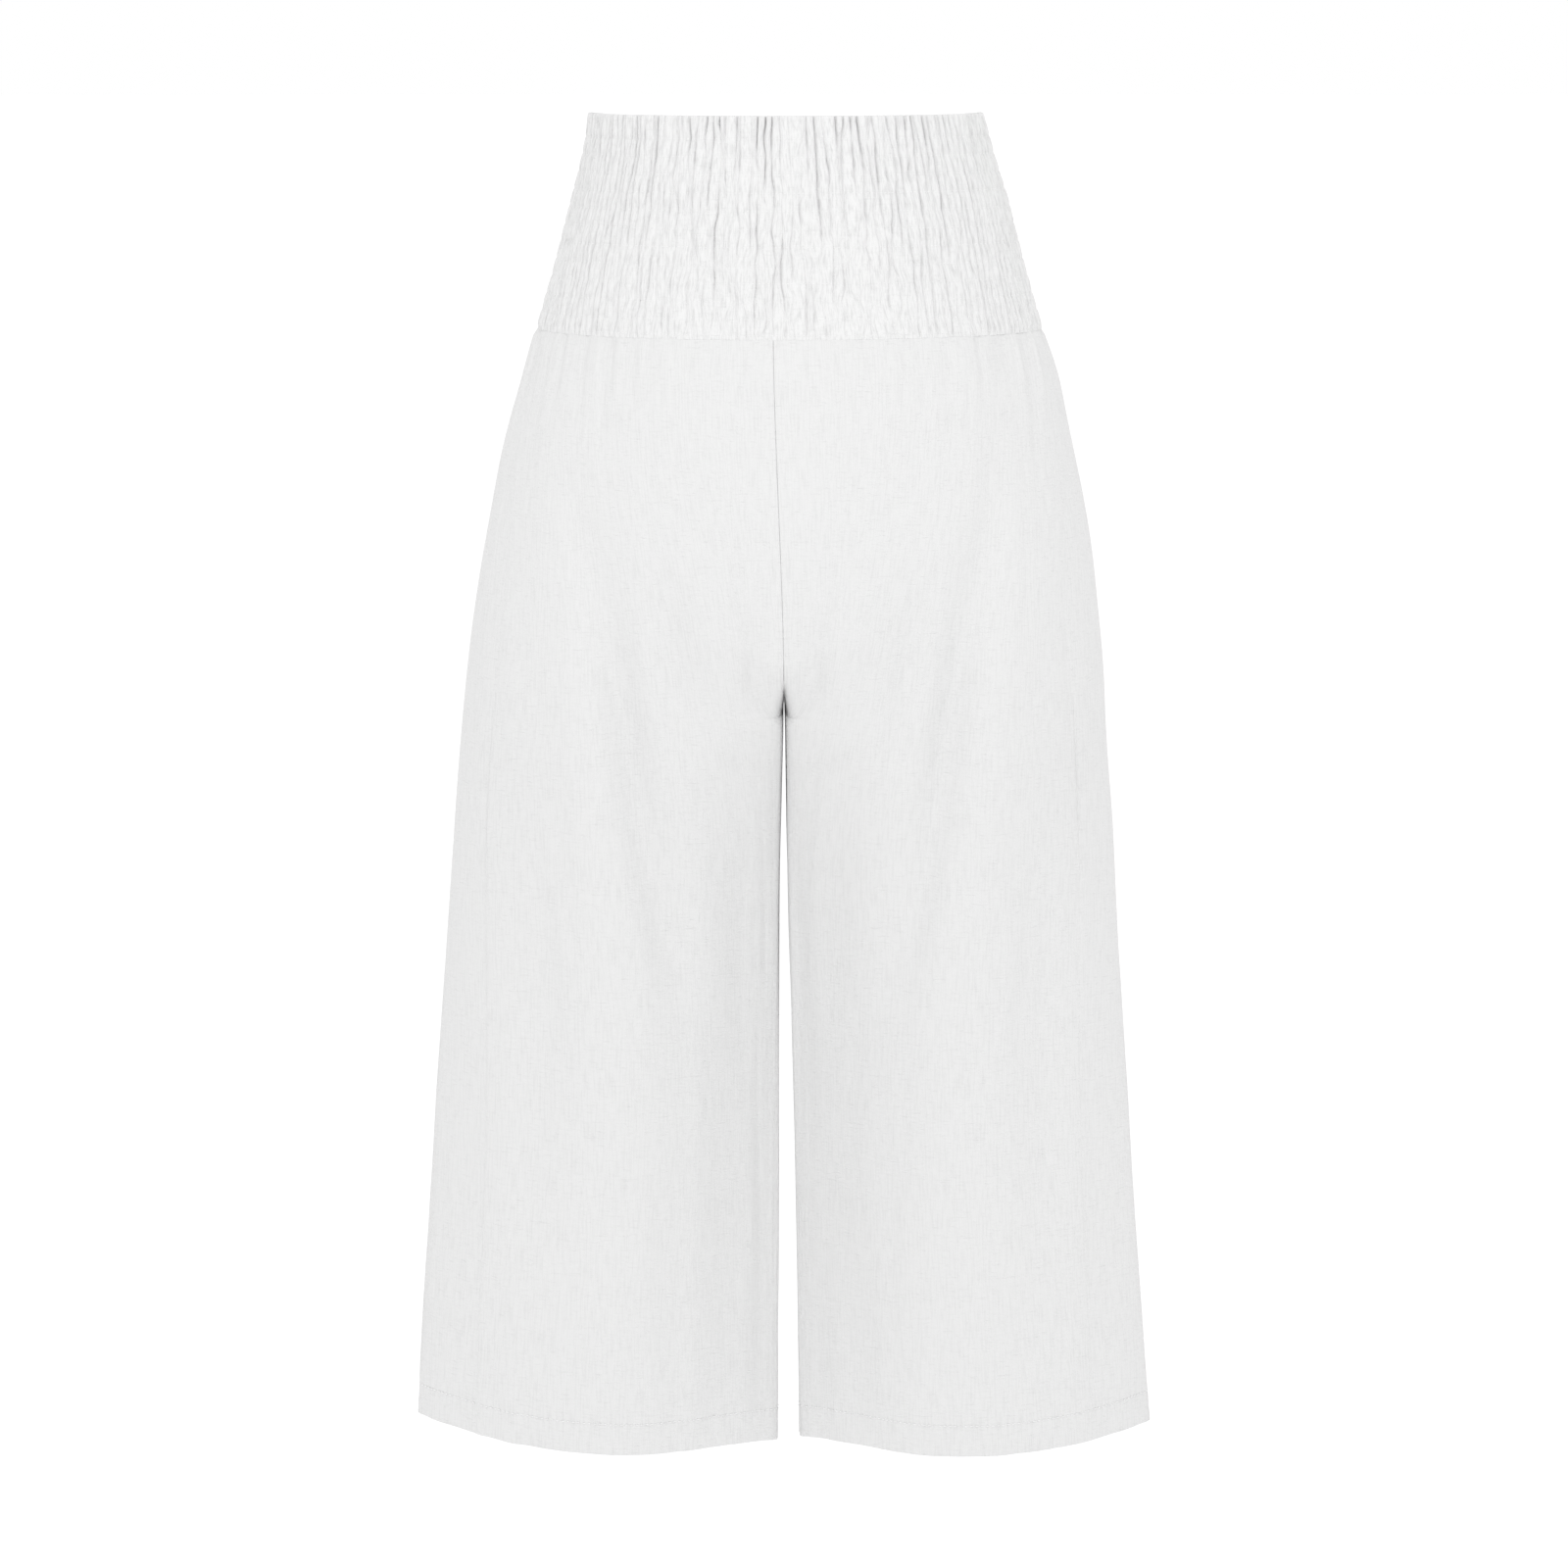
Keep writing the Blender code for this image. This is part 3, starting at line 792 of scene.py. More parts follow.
@dataclass
class ClothPiece(ABC):
    """One cut piece, sewn at its four edges.

    Across runs from 0 to 1 between its upright edges, and height is its place down the piece in metres.
    """

    form: Form
    half: Half
    thickness: float = 0.4 * MM
    side_seam: EdgeRoll = EdgeRoll(radius=0.55 * MM, lap=9.0 * MM, lap_steps=3, press=0.27 * MM)
    waist_seam: EdgeRoll = EdgeRoll(radius=0.55 * MM, lap=9.0 * MM, lap_steps=3, press=0.15 * MM)
    centre_seam: EdgeRoll = EdgeRoll(radius=0.6 * MM, lap=9.0 * MM, lap_steps=3)
    stitching: Stitching = Stitching()
    stitched_span: tuple[float, float] = (0.004, 0.996)  # places across where stitching starts and ends
    path_steps: int = 700  # points of a row's path

    node: str = field(init=False, default="")
    slot: str = field(init=False, default="")
    top: float = field(init=False, default=0.0)
    bottom: float = field(init=False, default=0.0)
    axis_x: float = field(init=False, default=0.0)
    top_roll: EdgeRoll = field(init=False)
    bottom_roll: EdgeRoll = field(init=False)
    first_seam: EdgeRoll = field(init=False)  # where across is 0
    last_seam: EdgeRoll = field(init=False)
    cut: Cut = field(init=False)

    @abstractmethod
    def point(self, across: Array, height: Array) -> Array:
        """Smooth face of the piece, in metres."""

    @abstractmethod
    def relief(self, across: Array, height: Array) -> Array:
        """Outward displacement of the cloth from its smooth face, in metres."""

    @abstractmethod
    def inner_rows(self) -> Array:
        """Heights of the rows between the rolled edges."""

    @abstractmethod
    def inner_columns(self) -> Array:
        """Places of the columns between the rolled edges, within 0 to 1."""

    @abstractmethod
    def stitch_rows(self) -> list[tuple[Array, Array]]:
        """Paths and outward vectors of the stitching on this piece."""

    def outward(self, across: Array, height: Array) -> Array:
        """Directions away from the body.

        Args:
            across: 0 to 1 over the piece.
            height: metres.

        Returns:
            Unit vectors square to the smooth face.
        """
        sideways = self.point(across + PROBE, height) - self.point(across - PROBE, height)
        upward = self.point(across, height + PROBE) - self.point(across, height - PROBE)
        normal = np.cross(sideways, upward)
        normal /= np.linalg.norm(normal, axis=-1, keepdims=True)
        from_axis = self.point(across, height)[..., :2] - [self.axis_x, 0.0]
        return normal if (from_axis * normal[..., :2]).sum() > 0 else -normal

    def width_at_edge(self, edge: float, height: Array) -> Array:
        """Width of the piece, as across runs at one of its upright edges.

        Args:
            edge: 0 or 1, the edge's place across.
            height: metres.

        Returns:
            Metres that across covers from 0 to 1.
        """
        inwards = PROBE if edge < 0.5 else -PROBE
        step = self.point(np.asarray(edge + inwards), height) - self.point(np.asarray(edge), height)
        return np.linalg.norm(step, axis=-1) / PROBE

    def face(self, across: Array, height: Array) -> tuple[Array, Array]:
        """The cloth's outer face.

        Args:
            across: 0 to 1 over the piece.
            height: metres.

        Returns:
            Points in metres, and the outward vectors there.
        """
        out = self.outward(across, height)
        return self.point(across, height) + out * self.relief(across, height)[..., None], out

    def from_seam(self, across: Array, height: Array) -> Array:
        """Distance to the nearer upright edge, in metres."""
        width = (self.width_at_edge(0.0, height) + self.width_at_edge(1.0, height)) / 2
        return np.minimum(across, 1 - across) * width

    def grid(self) -> tuple[Array, Array, Array]:
        """Lays out every point of the sheet, with its rolled edges.

        Returns:
            Place across, height, and depth below the face, as rows by columns.
        """
        top_distance, top_depth = self.top_roll.profile()
        bottom_distance, bottom_depth = self.bottom_roll.profile()
        rows = self.inner_rows()
        heights = np.concatenate([self.top - top_distance, rows, self.bottom + bottom_distance[::-1]])
        heights = heights[:, None]
        row_depth = np.concatenate([top_depth, np.zeros(len(rows)), bottom_depth[::-1]])[:, None]

        first_distance, first_depth = self.first_seam.profile()
        last_distance, last_depth = self.last_seam.profile()
        columns = self.inner_columns()
        first = first_distance / self.width_at_edge(0.0, heights)
        last = 1 - last_distance[::-1] / self.width_at_edge(1.0, heights)
        between = first[:, -1:] + (last[:, :1] - first[:, -1:]) * columns
        across = np.concatenate([first, between, last], axis=1)
        column_depth = np.concatenate([first_depth, np.zeros(len(columns)), last_depth[::-1]])[None, :]
        return across, np.broadcast_to(heights, across.shape), row_depth + column_depth

    def build(self, finish: ClothFinish) -> bpy.types.Object:
        """Makes the sheet, gives it its thickness and finish, and puts it in its node's place.

        Args:
            finish: the cloth's finish.

        Returns:
            The cloth's object.
        """
        across, height, depth = self.grid()
        out = self.outward(across, height)
        lift = self.relief(across, height) - depth
        points = self.point(across, height) + out * lift[..., None]
        cut = np.stack([across * self.cut.width, height], axis=-1)
        sheet = cloth_grid(f"{self.node}_cloth", points, out, cut)
        wall = sheet.modifiers.new("cloth thickness", "SOLIDIFY")
        wall.thickness = self.thickness
        wall.offset = -1.0
        sheet.data.materials.append(finish.material())
        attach(sheet, BODY)
        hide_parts(self.node)
        return sheet

    def sew(self, thread: ThreadFinish) -> bpy.types.Object:
        """Lays this piece's stitching.

        Args:
            thread: the thread's finish.

        Returns:
            The stitches' object.
        """
        stitches = self.stitching.lay(f"{self.node}_stitches", self.stitch_rows())
        stitches.data.materials.append(thread.material())
        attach(stitches, BODY)
        return stitches

    def make(self, finish: ClothFinish, thread: ThreadFinish) -> None:
        """Builds and sews the piece and reports its faces.

        Args:
            finish: the cloth's finish.
            thread: the thread's finish.
        """
        sheet = self.build(finish)
        stitches = self.sew(thread)
        for piece in (sheet, stitches):
            LOG.info("%s: %d faces", piece.name, len(piece.data.polygons))


@dataclass
class ShirredBand(ClothPiece):
    """One half of the waistband, gathered by rows of elastic thread, with its rim folded inside."""

    stitching: Stitching = Stitching(length=1.5 * MM, gap=1.2 * MM, width=0.4 * MM, rise=0.04 * MM)
    rows: ElasticRows = ElasticRows()
    creases: Crinkle = Crinkle(width=2.1 * MM, length=11.0 * MM, height=0.42 * MM)
    gather_count: dict[Half, int] = field(default_factory=lambda: {Half.BACK: 70, Half.FRONT: 78})
    header_rows: int = 8  # rows of points above the first elastic row
    rows_per_pitch: int = 5  # from one elastic row to the next
    foot_rows: int = 6  # below the last one
    seam_calm: float = 3.5 * MM  # the gathers die out over this distance from a side seam
    foot_calm: float = 4.0 * MM
    foot_share: float = 0.35  # of the gathers, left at the waist seam itself
    gathered_share: float = 0.63  # width of the gathered cloth, in widths of its cut
    topstitch: float = 2.6 * MM  # above the waist seam
    path_steps: int = 1400
    rim_roll: EdgeRoll = EdgeRoll(radius=1.0 * MM, lap=14.0 * MM, lap_steps=6)
    seeds: dict[Half, int] = field(default_factory=lambda: {Half.BACK: 21, Half.FRONT: 34})
    cut_width: dict[Half, float] = field(default_factory=lambda: {Half.BACK: 0.51, Half.FRONT: 0.56})
    cut_length: float = 0.158
    # Places of the columns from one valley to the next, in gathers
    column_places: dict[Half, tuple[float, ...]] = field(
        default_factory=lambda: {
            Half.BACK: (0.0, 0.06, 0.15, 0.34, 0.66, 0.85, 0.94),
            Half.FRONT: (0.0, 0.08, 0.22, 0.5, 0.78, 0.92),
        }
    )

    gathers: Gathers = field(init=False)

    def __post_init__(self) -> None:
        """Places the piece and sizes its cut."""
        self.node = f"waistband_{self.half.value}"
        self.slot = "shirred_cotton"
        self.top = 0.0
        self.bottom = self.form.waist_seam
        self.axis_x = 0.0
        self.top_roll = self.rim_roll
        self.bottom_roll = self.waist_seam
        self.first_seam = self.last_seam = self.side_seam
        self.gathers = Gathers(self.gather_count[self.half], self.seeds[self.half], self.rows)
        width = self.cut_width[self.half]
        self.cut = Cut(width, self.cut_length, width * self.cut_length, "gathered")

    def point(self, across: Array, height: Array) -> Array:
        """Smooth face of the band, with its places across drawn aside as the gathers stray."""
        return self.form.band_point(self.half, self.gathers.strayed(across, height), height)

    def relief(self, across: Array, height: Array) -> Array:
        """Gathers and the small creases on them, calm near the seams.

        Args:
            across: 0 to 1 over the half band, with even gathers.
            height: z in metres.

        Returns:
            Outward displacement in metres.
        """
        gathered = self.gathers.relief(across, height)
        metres = across * self.cut.width * self.gathered_share
        creased = self.creases.relief(self.gathers.seed + 1, metres, height)
        calm = smooth_step(self.from_seam(across, height) / self.seam_calm)
        above_foot = smooth_step((height - self.bottom) / self.foot_calm)
        foot = self.foot_share + (1 - self.foot_share) * above_foot
        return (gathered + creased) * calm * foot

    def inner_rows(self) -> Array:
        """Rows of points spaced by the elastic rows.

        Returns:
            Heights in metres.
        """
        header = np.linspace(-self.top_roll.radius, self.rows.first, self.header_rows, endpoint=False)[1:]
        last = self.rows.heights()[-1]
        steps = (self.rows.count - 1) * self.rows_per_pitch
        shirred = np.linspace(self.rows.first, last, steps, endpoint=False)
        foot = np.linspace(last, self.bottom + self.bottom_roll.radius, self.foot_rows, endpoint=False)
        return np.concatenate([header, shirred, foot])

    def inner_columns(self) -> Array:
        """Columns that close up at the valleys."""
        valleys = np.arange(self.gathers.count)[:, None]
        return ((valleys + np.array(self.column_places[self.half])) / self.gathers.count).ravel()[1:]

    def stitch_rows(self) -> list[tuple[Array, Array]]:
        """The elastic rows, and one row of topstitching over the waist seam.

        Returns:
            Each row's path on the cloth's face, and the outward vectors along it.
        """
        across = np.linspace(*self.stitched_span, self.path_steps)
        heights = [*self.rows.heights(), self.bottom + self.topstitch]
        return [self.face(across, np.full_like(across, height)) for height in heights]


@dataclass
class LegPanel(ClothPiece):
    """The back or front panel of one leg, with its share of the turned-up hem."""

    side: Side = Side.LEFT
    hem_stitch: float = 20.0 * MM  # above the hem's edge
    crinkles: tuple[Crinkle, ...] = (
        Crinkle(width=4.6 * MM, length=36.0 * MM, height=0.15 * MM),
        Crinkle(width=11.0 * MM, length=85.0 * MM, height=0.36 * MM),
        Crinkle(width=27.0 * MM, length=170.0 * MM, height=0.85 * MM),
    )
    waist_puckers: Crinkle = Crinkle(width=9.0 * MM, length=70.0 * MM, height=1.8 * MM)
    hem_puckers: Crinkle = Crinkle(width=7.0 * MM, length=30.0 * MM, height=0.5 * MM)
    pucker_fall: float = 45.0 * MM  # the waist's puckers die out down the panel over about this distance
    pucker_least: float = 0.15  # share of their height at the centre seam
    # Share of the width from there, over which they come to their full height
    pucker_reach: dict[Half, float] = field(default_factory=lambda: {Half.BACK: 0.7, Half.FRONT: 0.5})
    hem_fall: float = 30.0 * MM  # the hem's puckers die out up the panel over about this distance
    hem_least: float = 0.4  # share of their height off the hem's stitching
    hem_draw: float = 7.0 * MM  # above and below the stitching, where they are higher
    channel_depth: float = 0.08 * MM  # how far the hem's stitching is drawn in
    channel_reach: float = 1.5 * MM
    seam_calm: float = 5.0 * MM  # creases die out over this distance from a seam
    waist_share: float = 0.3  # of the creases, left at the waist seam
    crotch_calm: float = 14.0 * MM  # and above and below the crotch
    crotch_calm_reach: float = 0.4  # share of the width over which they do so there
    fold_free_edge: float = 0.12  # share of the width over which folds die out towards the seams
    seat_rows: int = 46  # rows of points above the turn of the crotch seam, along it, and on the leg
    crotch_rows: int = 16
    leg_rows: int = 96
    column_count: dict[Half, int] = field(default_factory=lambda: {Half.BACK: 160, Half.FRONT: 164})
    hem_roll: EdgeRoll = EdgeRoll(radius=0.8 * MM, lap=20.5 * MM, lap_steps=6)
    cut_width: dict[Half, float] = field(default_factory=lambda: {Half.BACK: 0.3, Half.FRONT: 0.4})
    cut_length: float = 0.74
    # Area of the tapered piece to its width times its length
    cut_share: dict[Half, float] = field(default_factory=lambda: {Half.BACK: 0.78, Half.FRONT: 0.84})

    seed: int = field(init=False)

    def __post_init__(self) -> None:
        """Places the piece and sizes its cut."""
        self.node = f"{self.side.value}_{self.half.value}_leg"
        self.slot = "crinkled_cotton"
        self.top = self.form.waist_seam
        self.bottom = self.form.longest
        self.axis_x = self.side.sign * self.form.leg_axis
        self.top_roll = self.waist_seam
        self.bottom_roll = self.hem_roll
        self.first_seam = self.centre_seam
        self.last_seam = self.side_seam
        self.seed = 100 + 10 * self.side.sign + 3 * self.half.toward_back
        width = self.cut_width[self.half]
        area = width * self.cut_length * self.cut_share[self.half]
        self.cut = Cut(width, self.cut_length, area, "hung")

    def point(self, across: Array, height: Array) -> Array:
        """Smooth face of the panel."""
        return self.form.panel_point(self.side, self.half, across, height)

    def relief(self, across: Array, height: Array) -> Array:
        """Long folds, the crinkle of the gauze, and puckers at the waist seam and the hem's stitching.

        Args:
            across: 0 on the centre seam and inseam, 1 on the side seam.
            height: metres.

        Returns:
            Outward displacement in metres.
        """
        points = self.point(across, height)
        pressed = sum(fold.depth_at(self.half, points) for fold in MAIN_FOLDS + SMALL_FOLDS)
        folds = -pressed * smooth_step(np.minimum(across, 1 - across) / self.fold_free_edge)

        metres = across * self.cut.width
        creased = np.zeros(across.shape)
        for layer, crinkle in enumerate(self.crinkles):
            creased = creased + crinkle.relief(self.seed + layer, metres, height)
        below_waist = self.top - height
        sideward = smooth_step(across / self.pucker_reach[self.half])
        puckered = self.waist_puckers.relief(self.seed + 7, metres, height)
        puckered *= self.pucker_least + (1 - self.pucker_least) * sideward
        puckered *= np.exp(-((below_waist / self.pucker_fall) ** 2))

        above_hem = height - self.bottom
        off_stitching = above_hem - self.hem_stitch
        stitched = np.exp(-((off_stitching / self.hem_draw) ** 2))
        hemmed = self.hem_puckers.relief(self.seed + 8, metres, height)
        hemmed *= self.hem_least + (1 - self.hem_least) * stitched
        hemmed *= np.exp(-((above_hem / self.hem_fall) ** 2))
        channel = -self.channel_depth * np.exp(-((off_stitching / self.channel_reach) ** 2))

        calm = smooth_step(self.from_seam(across, height) / self.seam_calm)
        calm = calm * (self.waist_share + (1 - self.waist_share) * smooth_step(below_waist / self.seam_calm))
        off_crotch = np.exp(-(((height - self.form.crotch) / self.crotch_calm) ** 2))
        calm = calm * (1 - off_crotch * (1 - smooth_step(across / self.crotch_calm_reach)))
        return folds + (creased + puckered + hemmed) * calm + channel

    def inner_rows(self) -> Array:
        """Rows of points, even on the seat and leg, closing up where the crotch seam turns.

        Returns:
            Heights in metres.
        """
        start = self.top - self.top_roll.radius
        seat = np.linspace(start, self.form.crotch_start, self.seat_rows, endpoint=False)[1:]
        turn = np.sin(np.linspace(0, math.pi / 2, self.crotch_rows + 1)) ** (2 / self.form.crotch_power)
        crotch = self.form.crotch_start + (self.form.crotch - self.form.crotch_start) * turn
        leg = np.linspace(self.form.crotch, self.bottom + self.bottom_roll.radius, self.leg_rows)[1:-1]
        return np.concatenate([seat, crotch, leg])

    def inner_columns(self) -> Array:
        """Even columns."""
        count = self.column_count[self.half]
        return np.arange(1, count) / count

    def stitch_rows(self) -> list[tuple[Array, Array]]:
        """The hem's row of stitching: its path and the outward vectors along it."""
        across = np.linspace(*self.stitched_span, self.path_steps)
        return [self.face(across, np.full_like(across, self.bottom + self.hem_stitch))]


# Finishes ----------------------------------------------------------------------------------------


def linear_colour(code: str) -> tuple[float, float, float, float]:
    """Turns an sRGB hex colour into the linear one that shaders take.

    Args:
        code: a hash and six hex digits.

    Returns:
        Linear red, green and blue, and full alpha.
    """
    channels = [int(code[i : i + 2], 16) / 255 for i in (1, 3, 5)]
    linear = [c / 12.92 if c <= 0.04045 else ((c + 0.055) / 1.055) ** 2.4 for c in channels]
    return (linear[0], linear[1], linear[2], 1.0)


def add_node(
    tree: bpy.types.NodeTree, kind: str, inputs: dict[str | int, Any] | None = None, **settings: Any
) -> bpy.types.Node:
    """Adds a node.

    Args:
        tree: the material's or world's nodes.
        kind: the node's type.
        inputs: values to set on its inputs, or sockets to link to them.
        settings: properties of the node itself.

    Returns:
        The node.
    """
    node = tree.nodes.new(kind)
    for name, value in settings.items():
        setattr(node, name, value)
    for name, value in (inputs or {}).items():
        if isinstance(value, bpy.types.NodeSocket):
            tree.links.new(value, node.inputs[name])
        else:
            node.inputs[name].default_value = value
    return node


def new_material(name: str) -> tuple[bpy.types.Material, bpy.types.NodeTree]:
    """Makes an empty node material.

    Args:
        name: the material's name.

    Returns:
        The material and its nodes.
    """
    material = bpy.data.materials.new(name)
    material.use_nodes = True
    material.node_tree.nodes.clear()
    return material, material.node_tree


@dataclass(frozen=True)
class ClothFinish:
    """Crinkled cotton gauze, woven loosely in white and washed so that it shrinks into fine upright creases.

    To the eye it is matt and chalky, with a faint grid of threads, slubs that catch the light, and creases
    that read as thin grey lines; the shade in their bottoms is painted into the colour.
    """

    name: str
    cloth: str = "#E0E0E0"
    hollow: str = "#DADADA"  # painted shade: a darker grey in the bottoms of the creases, where shade falls
    painted_shade_noise: tuple[float, float] = (0.3, 0.55)  # noise values over which the painted shade fades from a crease's bottom to its brink
    thread_pitch: float = 1.5  # mm: real threads lie 0.4 mm apart, drawn coarser so that the weave shows
    crease_width: float = 1.5  # mm, as all the sizes below
    crease_length: float = 17.0
    crease_height: float = 0.12
    slub_width: float = 1.0  # slubs are thicker stretches of thread, drawn coarser than the real 0.5 mm
    slub_length: float = 9.0
    slub_noise: tuple[float, float] = (0.56, 0.74)  # noise values from a slub's foot to its crest
    weft_slub_height: float = 0.12
    warp_slub_height: float = 0.05
    weave_height: float = 0.04

    def material(self) -> bpy.types.Material:
        """Makes the gauze, once for all pieces.

        Returns:
            A material whose threads and creases follow the cut piece.
        """
        made = bpy.data.materials.get(self.name)
        if made is not None:
            return made
        material, tree = new_material(self.name)
        place = add_node(tree, "ShaderNodeUVMap", uv_map=CUT_MAP).outputs["UV"]

        def stretched(across: float, along: float) -> bpy.types.NodeSocket:
            """Scales the cut piece's places.

            Args:
                across: millimetres that make one unit across the piece.
                along: and along it.

            Returns:
                The scaled places.
            """
            scale = (1 / (across * MM), 1 / (along * MM), 1.0)
            mapping = add_node(tree, "ShaderNodeMapping", {"Vector": place, "Scale": scale})
            return mapping.outputs["Vector"]

        creases = add_node(
            tree,
            "ShaderNodeTexNoise",
            {"Vector": stretched(self.crease_width, self.crease_length), "Scale": 1.0, "Detail": 3.0,
             "Roughness": 0.55, "Distortion": 0.3},
        ).outputs["Fac"]
        wave_scale = 2 * math.pi / 20  # a wave texture turns 20 radians to a unit
        threads = []
        for direction in ("X", "Y"):
            wave = add_node(
                tree,
                "ShaderNodeTexWave",
                {"Vector": stretched(self.thread_pitch, self.thread_pitch), "Scale": wave_scale,
                 "Distortion": 1.2, "Detail": 2.0, "Detail Scale": 1.5},
                wave_type="BANDS",
                bands_direction=direction,
            )
            threads.append(wave.outputs["Fac"])
        foot, crest = self.slub_noise
        slubs = []
        for across, along, size in (
            (self.slub_length, self.slub_width, self.weft_slub_height),
            (self.slub_width, self.slub_length, self.warp_slub_height),
        ):
            noise = add_node(
                tree,
                "ShaderNodeTexNoise",
                {"Vector": stretched(across, along), "Scale": 1.0, "Detail": 1.0},
            )
            slub = add_node(
                tree,
                "ShaderNodeMapRange",
                {"Value": noise.outputs["Fac"], "From Min": foot, "From Max": crest},
            )
            slubs.append((slub.outputs["Result"], size))

        height = None
        layers = [(creases, self.crease_height), *((t, self.weave_height) for t in threads), *slubs]
        for value, size in layers:
            scaled = add_node(tree, "ShaderNodeMath", {0: value, 1: size}, operation="MULTIPLY").outputs[0]
            if height is None:
                height = scaled
            else:
                height = add_node(tree, "ShaderNodeMath", {0: height, 1: scaled}).outputs[0]
        bump = add_node(tree, "ShaderNodeBump", {"Height": height, "Distance": MM, "Strength": 1.0})

        # Painted shade: the colour darkens to the hollow grey where the crease noise is low, in the creases'
        # bottoms
        shade = add_node(
            tree,
            "ShaderNodeMapRange",
            {"Value": creases, "From Min": self.painted_shade_noise[0], "From Max": self.painted_shade_noise[1]},
        ).outputs["Result"]
        colour = add_node(
            tree,
            "ShaderNodeMix",
            {"Factor": shade, "A": linear_colour(self.hollow), "B": linear_colour(self.cloth)},
            data_type="RGBA",
        )
        roughness = add_node(
            tree,
            "ShaderNodeMapRange",
            {"Value": creases, "From Min": 0.2, "From Max": 0.8, "To Min": 0.95, "To Max": 0.84},
        ).outputs["Result"]
        shader = add_node(
            tree,
            "ShaderNodeBsdfPrincipled",
            {"Base Color": colour.outputs["Result"], "Roughness": roughness, "Metallic": 0.0, "IOR": 1.53,
             "Specular IOR Level": 0.3, "Sheen Weight": 0.15, "Sheen Roughness": 0.6,
             "Normal": bump.outputs["Normal"]},
        )
        add_node(tree, "ShaderNodeOutputMaterial", {"Surface": shader.outputs["BSDF"]})
        return material


@dataclass(frozen=True)
class ThreadFinish:
    """Spun polyester sewing thread, twisted and slightly glossy, whiter than the cloth."""

    name: str = "spun polyester sewing thread"
    light: str = "#F6F6F6"
    dark: str = "#E6E6E6"
    twist: float = 1.1  # mm, drawn coarser than the real 0.3 so that a stitch shows some change of tone
    ridge: float = 0.1  # mm

    def material(self) -> bpy.types.Material:
        """Makes the thread, once for all pieces.

        Returns:
            The material.
        """
        made = bpy.data.materials.get(self.name)
        if made is not None:
            return made
        material, tree = new_material(self.name)
        place = add_node(tree, "ShaderNodeTexCoord").outputs["Object"]
        noise = add_node(
            tree, "ShaderNodeTexNoise", {"Vector": place, "Scale": 1 / (self.twist * MM), "Detail": 2.0}
        ).outputs["Fac"]
        colour = add_node(
            tree,
            "ShaderNodeMix",
            {"Factor": noise, "A": linear_colour(self.dark), "B": linear_colour(self.light)},
            data_type="RGBA",
        )
        bump = add_node(tree, "ShaderNodeBump", {"Height": noise, "Distance": self.ridge * MM})
        shader = add_node(
            tree,
            "ShaderNodeBsdfPrincipled",
            {"Base Color": colour.outputs["Result"], "Roughness": 0.55, "Metallic": 0.0, "IOR": 1.58,
             "Normal": bump.outputs["Normal"]},
        )
        add_node(tree, "ShaderNodeOutputMaterial", {"Surface": shader.outputs["BSDF"]})
        return material


# Studio ------------------------------------------------------------------------------------------


@dataclass(frozen=True)
class SoftBox:
    """A square studio light turned to a point."""

    name: str
    place: tuple[float, float, float]
    aim: tuple[float, float, float]
    size: float  # of a side, in metres
    watts: float

    def build(self) -> None:
        """Adds the light."""
        light = bpy.data.lights.new(self.name, "AREA")
        light.shape = "SQUARE"
        light.size = self.size
        light.energy = self.watts
        lamp = link(bpy.data.objects.new(self.name, light))
        lamp.location = self.place
        lamp.rotation_euler = (Vector(self.aim) - Vector(self.place)).to_track_quat("-Z", "Y").to_euler()


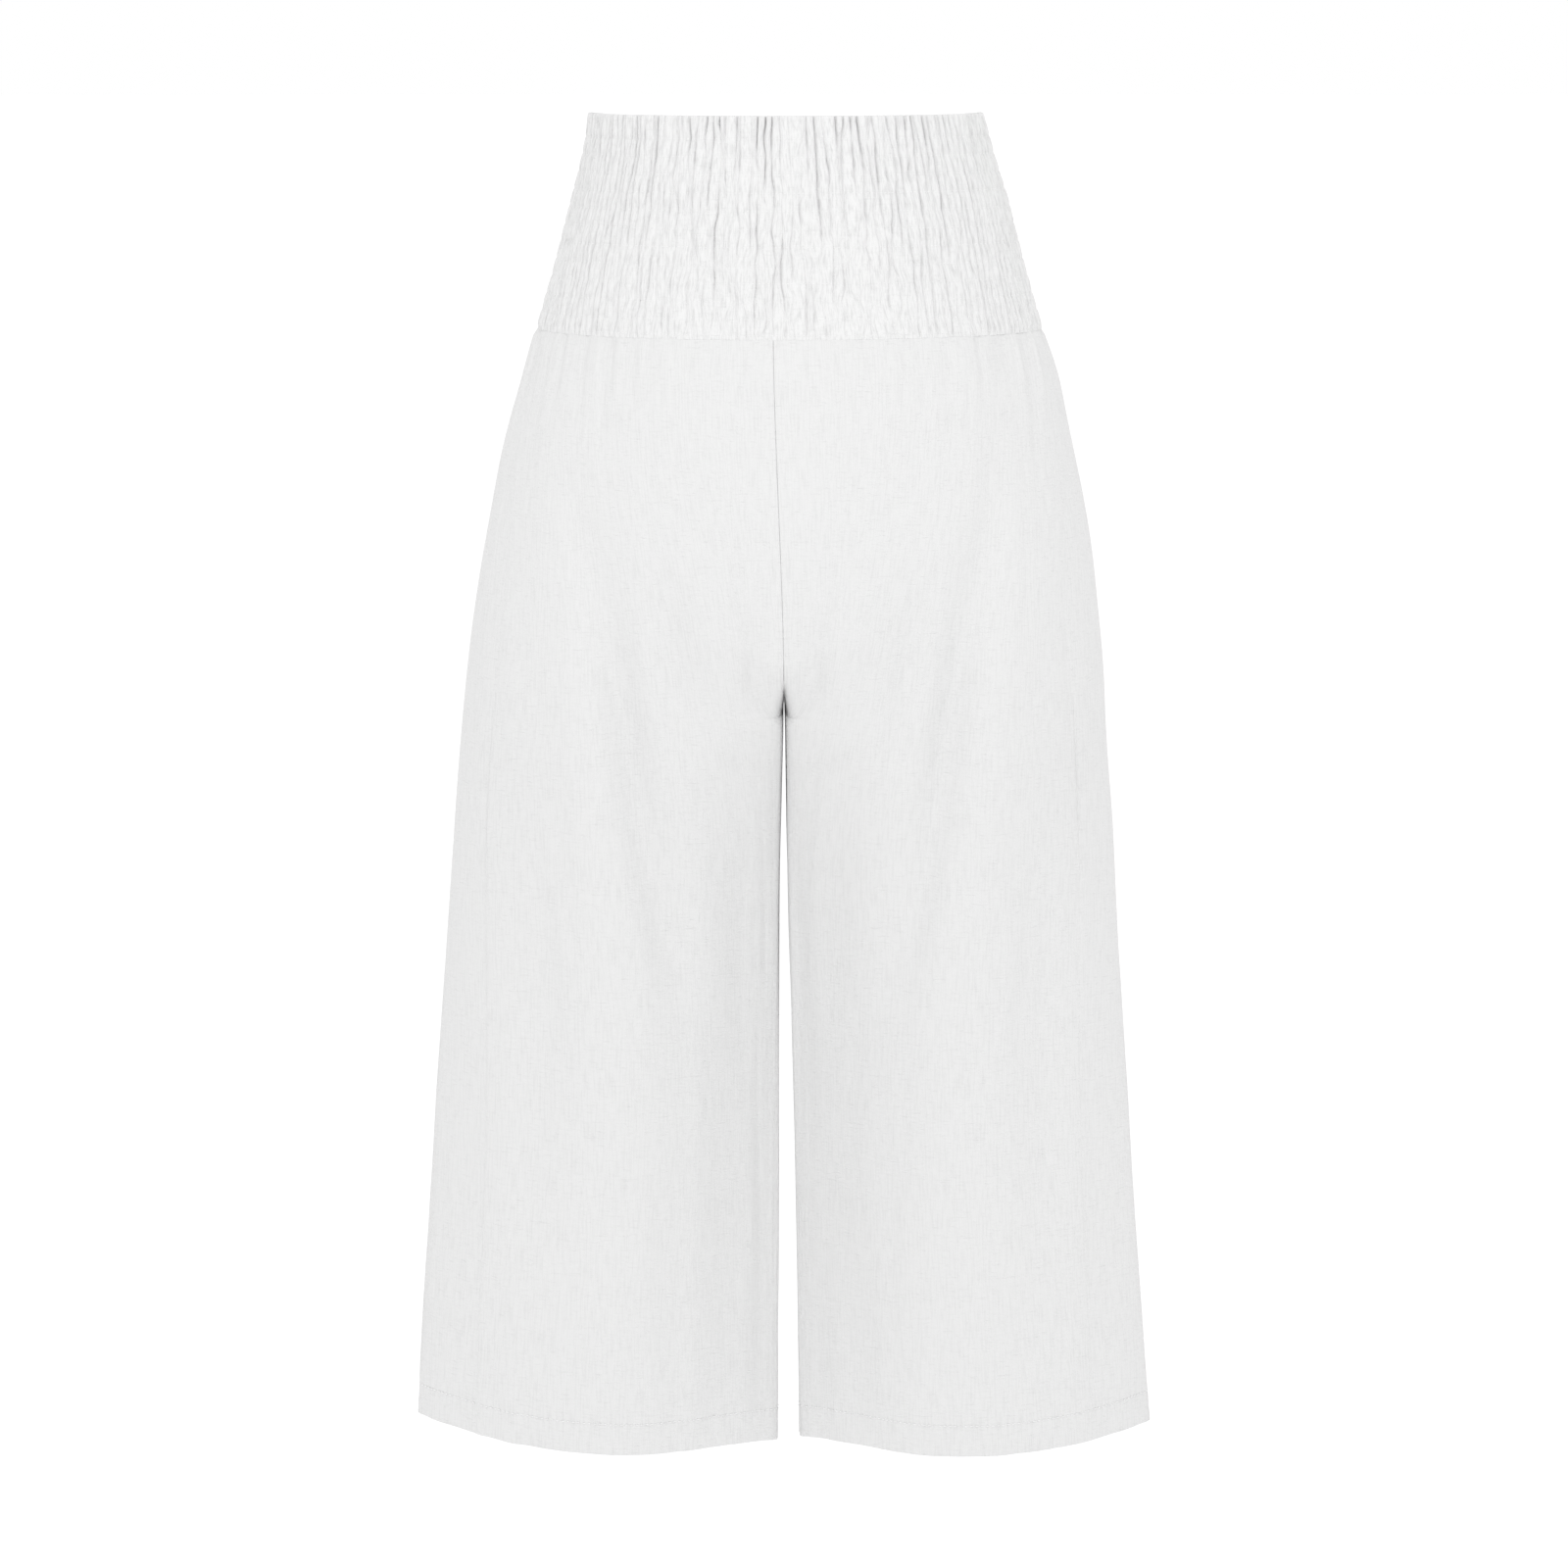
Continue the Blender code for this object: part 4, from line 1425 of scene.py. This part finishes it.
@dataclass(frozen=True)
class Studio:
    """Camera, light from all round with one soft key light, and floor."""

    camera_place: tuple[float, float, float] = (0.0, -3.0, 0.07)
    camera_dip: float = math.radians(9.0975)  # below level
    lens: float = 113.17  # mm, as the sensor's width
    sensor: float = 36.0
    floor_drop: float = 0.35  # below the hems
    floor_radius: float = 60.0
    floor_glow: float = 0.1  # the paper's own light, so that it is as white as the surround
    surround: float = 1.0
    key: SoftBox = SoftBox(name="key", place=(0.0, -1.5, 0.9), aim=(0.0, 0.0, -0.3), size=0.9, watts=6.3)

    def build(self, lowest: float) -> None:
        """Sets up the camera, light, surround and floor.

        Args:
            lowest: height of the object's lowest point.
        """
        camera = bpy.data.cameras.new("camera")
        camera.lens = self.lens
        camera.sensor_width = self.sensor
        stand = link(bpy.data.objects.new("camera", camera))
        stand.location = self.camera_place
        stand.rotation_euler = (math.pi / 2 - self.camera_dip, 0.0, 0.0)
        bpy.context.scene.camera = stand
        self.key.build()
        world = bpy.data.worlds.new("white surround")
        world.use_nodes = True
        background = world.node_tree.nodes["Background"]
        background.inputs["Color"].default_value = (1.0, 1.0, 1.0, 1.0)
        background.inputs["Strength"].default_value = self.surround
        bpy.context.scene.world = world
        bpy.context.scene.view_settings.view_transform = "Standard"
        self._floor(lowest - self.floor_drop)

    def _floor(self, height: float) -> None:
        """Lays a round sheet of matt white paper.

        Args:
            height: z in metres.
        """
        bm = bmesh.new()
        bmesh.ops.create_circle(bm, cap_ends=True, segments=96, radius=self.floor_radius)
        bmesh.ops.translate(bm, verts=bm.verts, vec=(0.0, 0.0, height))
        mesh = bpy.data.meshes.new("floor")
        bm.to_mesh(mesh)
        bm.free()
        material, tree = new_material("matt white background paper")
        shader = add_node(
            tree,
            "ShaderNodeBsdfPrincipled",
            {"Base Color": linear_colour("#FAFAFA"), "Roughness": 0.95,
             "Emission Color": linear_colour("#FFFFFF"), "Emission Strength": self.floor_glow},
        )
        add_node(tree, "ShaderNodeOutputMaterial", {"Surface": shader.outputs["BSDF"]})
        mesh.materials.append(material)
        link(bpy.data.objects.new("floor", mesh))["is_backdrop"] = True


def main() -> None:
    """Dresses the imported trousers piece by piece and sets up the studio."""
    logging.basicConfig(level=logging.INFO, format="%(name)s: %(message)s")
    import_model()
    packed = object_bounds()
    form = Form()
    thread = ThreadFinish()
    shirred = ClothFinish(
        "shirred crinkled cotton gauze",
        cloth="#E5E5E5",
        # painted shade in the bottoms of the creases, darker than on the legs
        hollow="#D4D4D4",
        crease_width=1.2,
        crease_length=8.0,
        crease_height=0.3,
    )
    crinkled = ClothFinish("crinkled cotton gauze")
    for half in Half:
        ShirredBand(form, half).make(shirred, thread)
        for side in Side:
            LegPanel(form, half, side=side).make(crinkled, thread)
    Studio().build(lowest=packed[0].z)


if __name__ == "__main__":
    main()
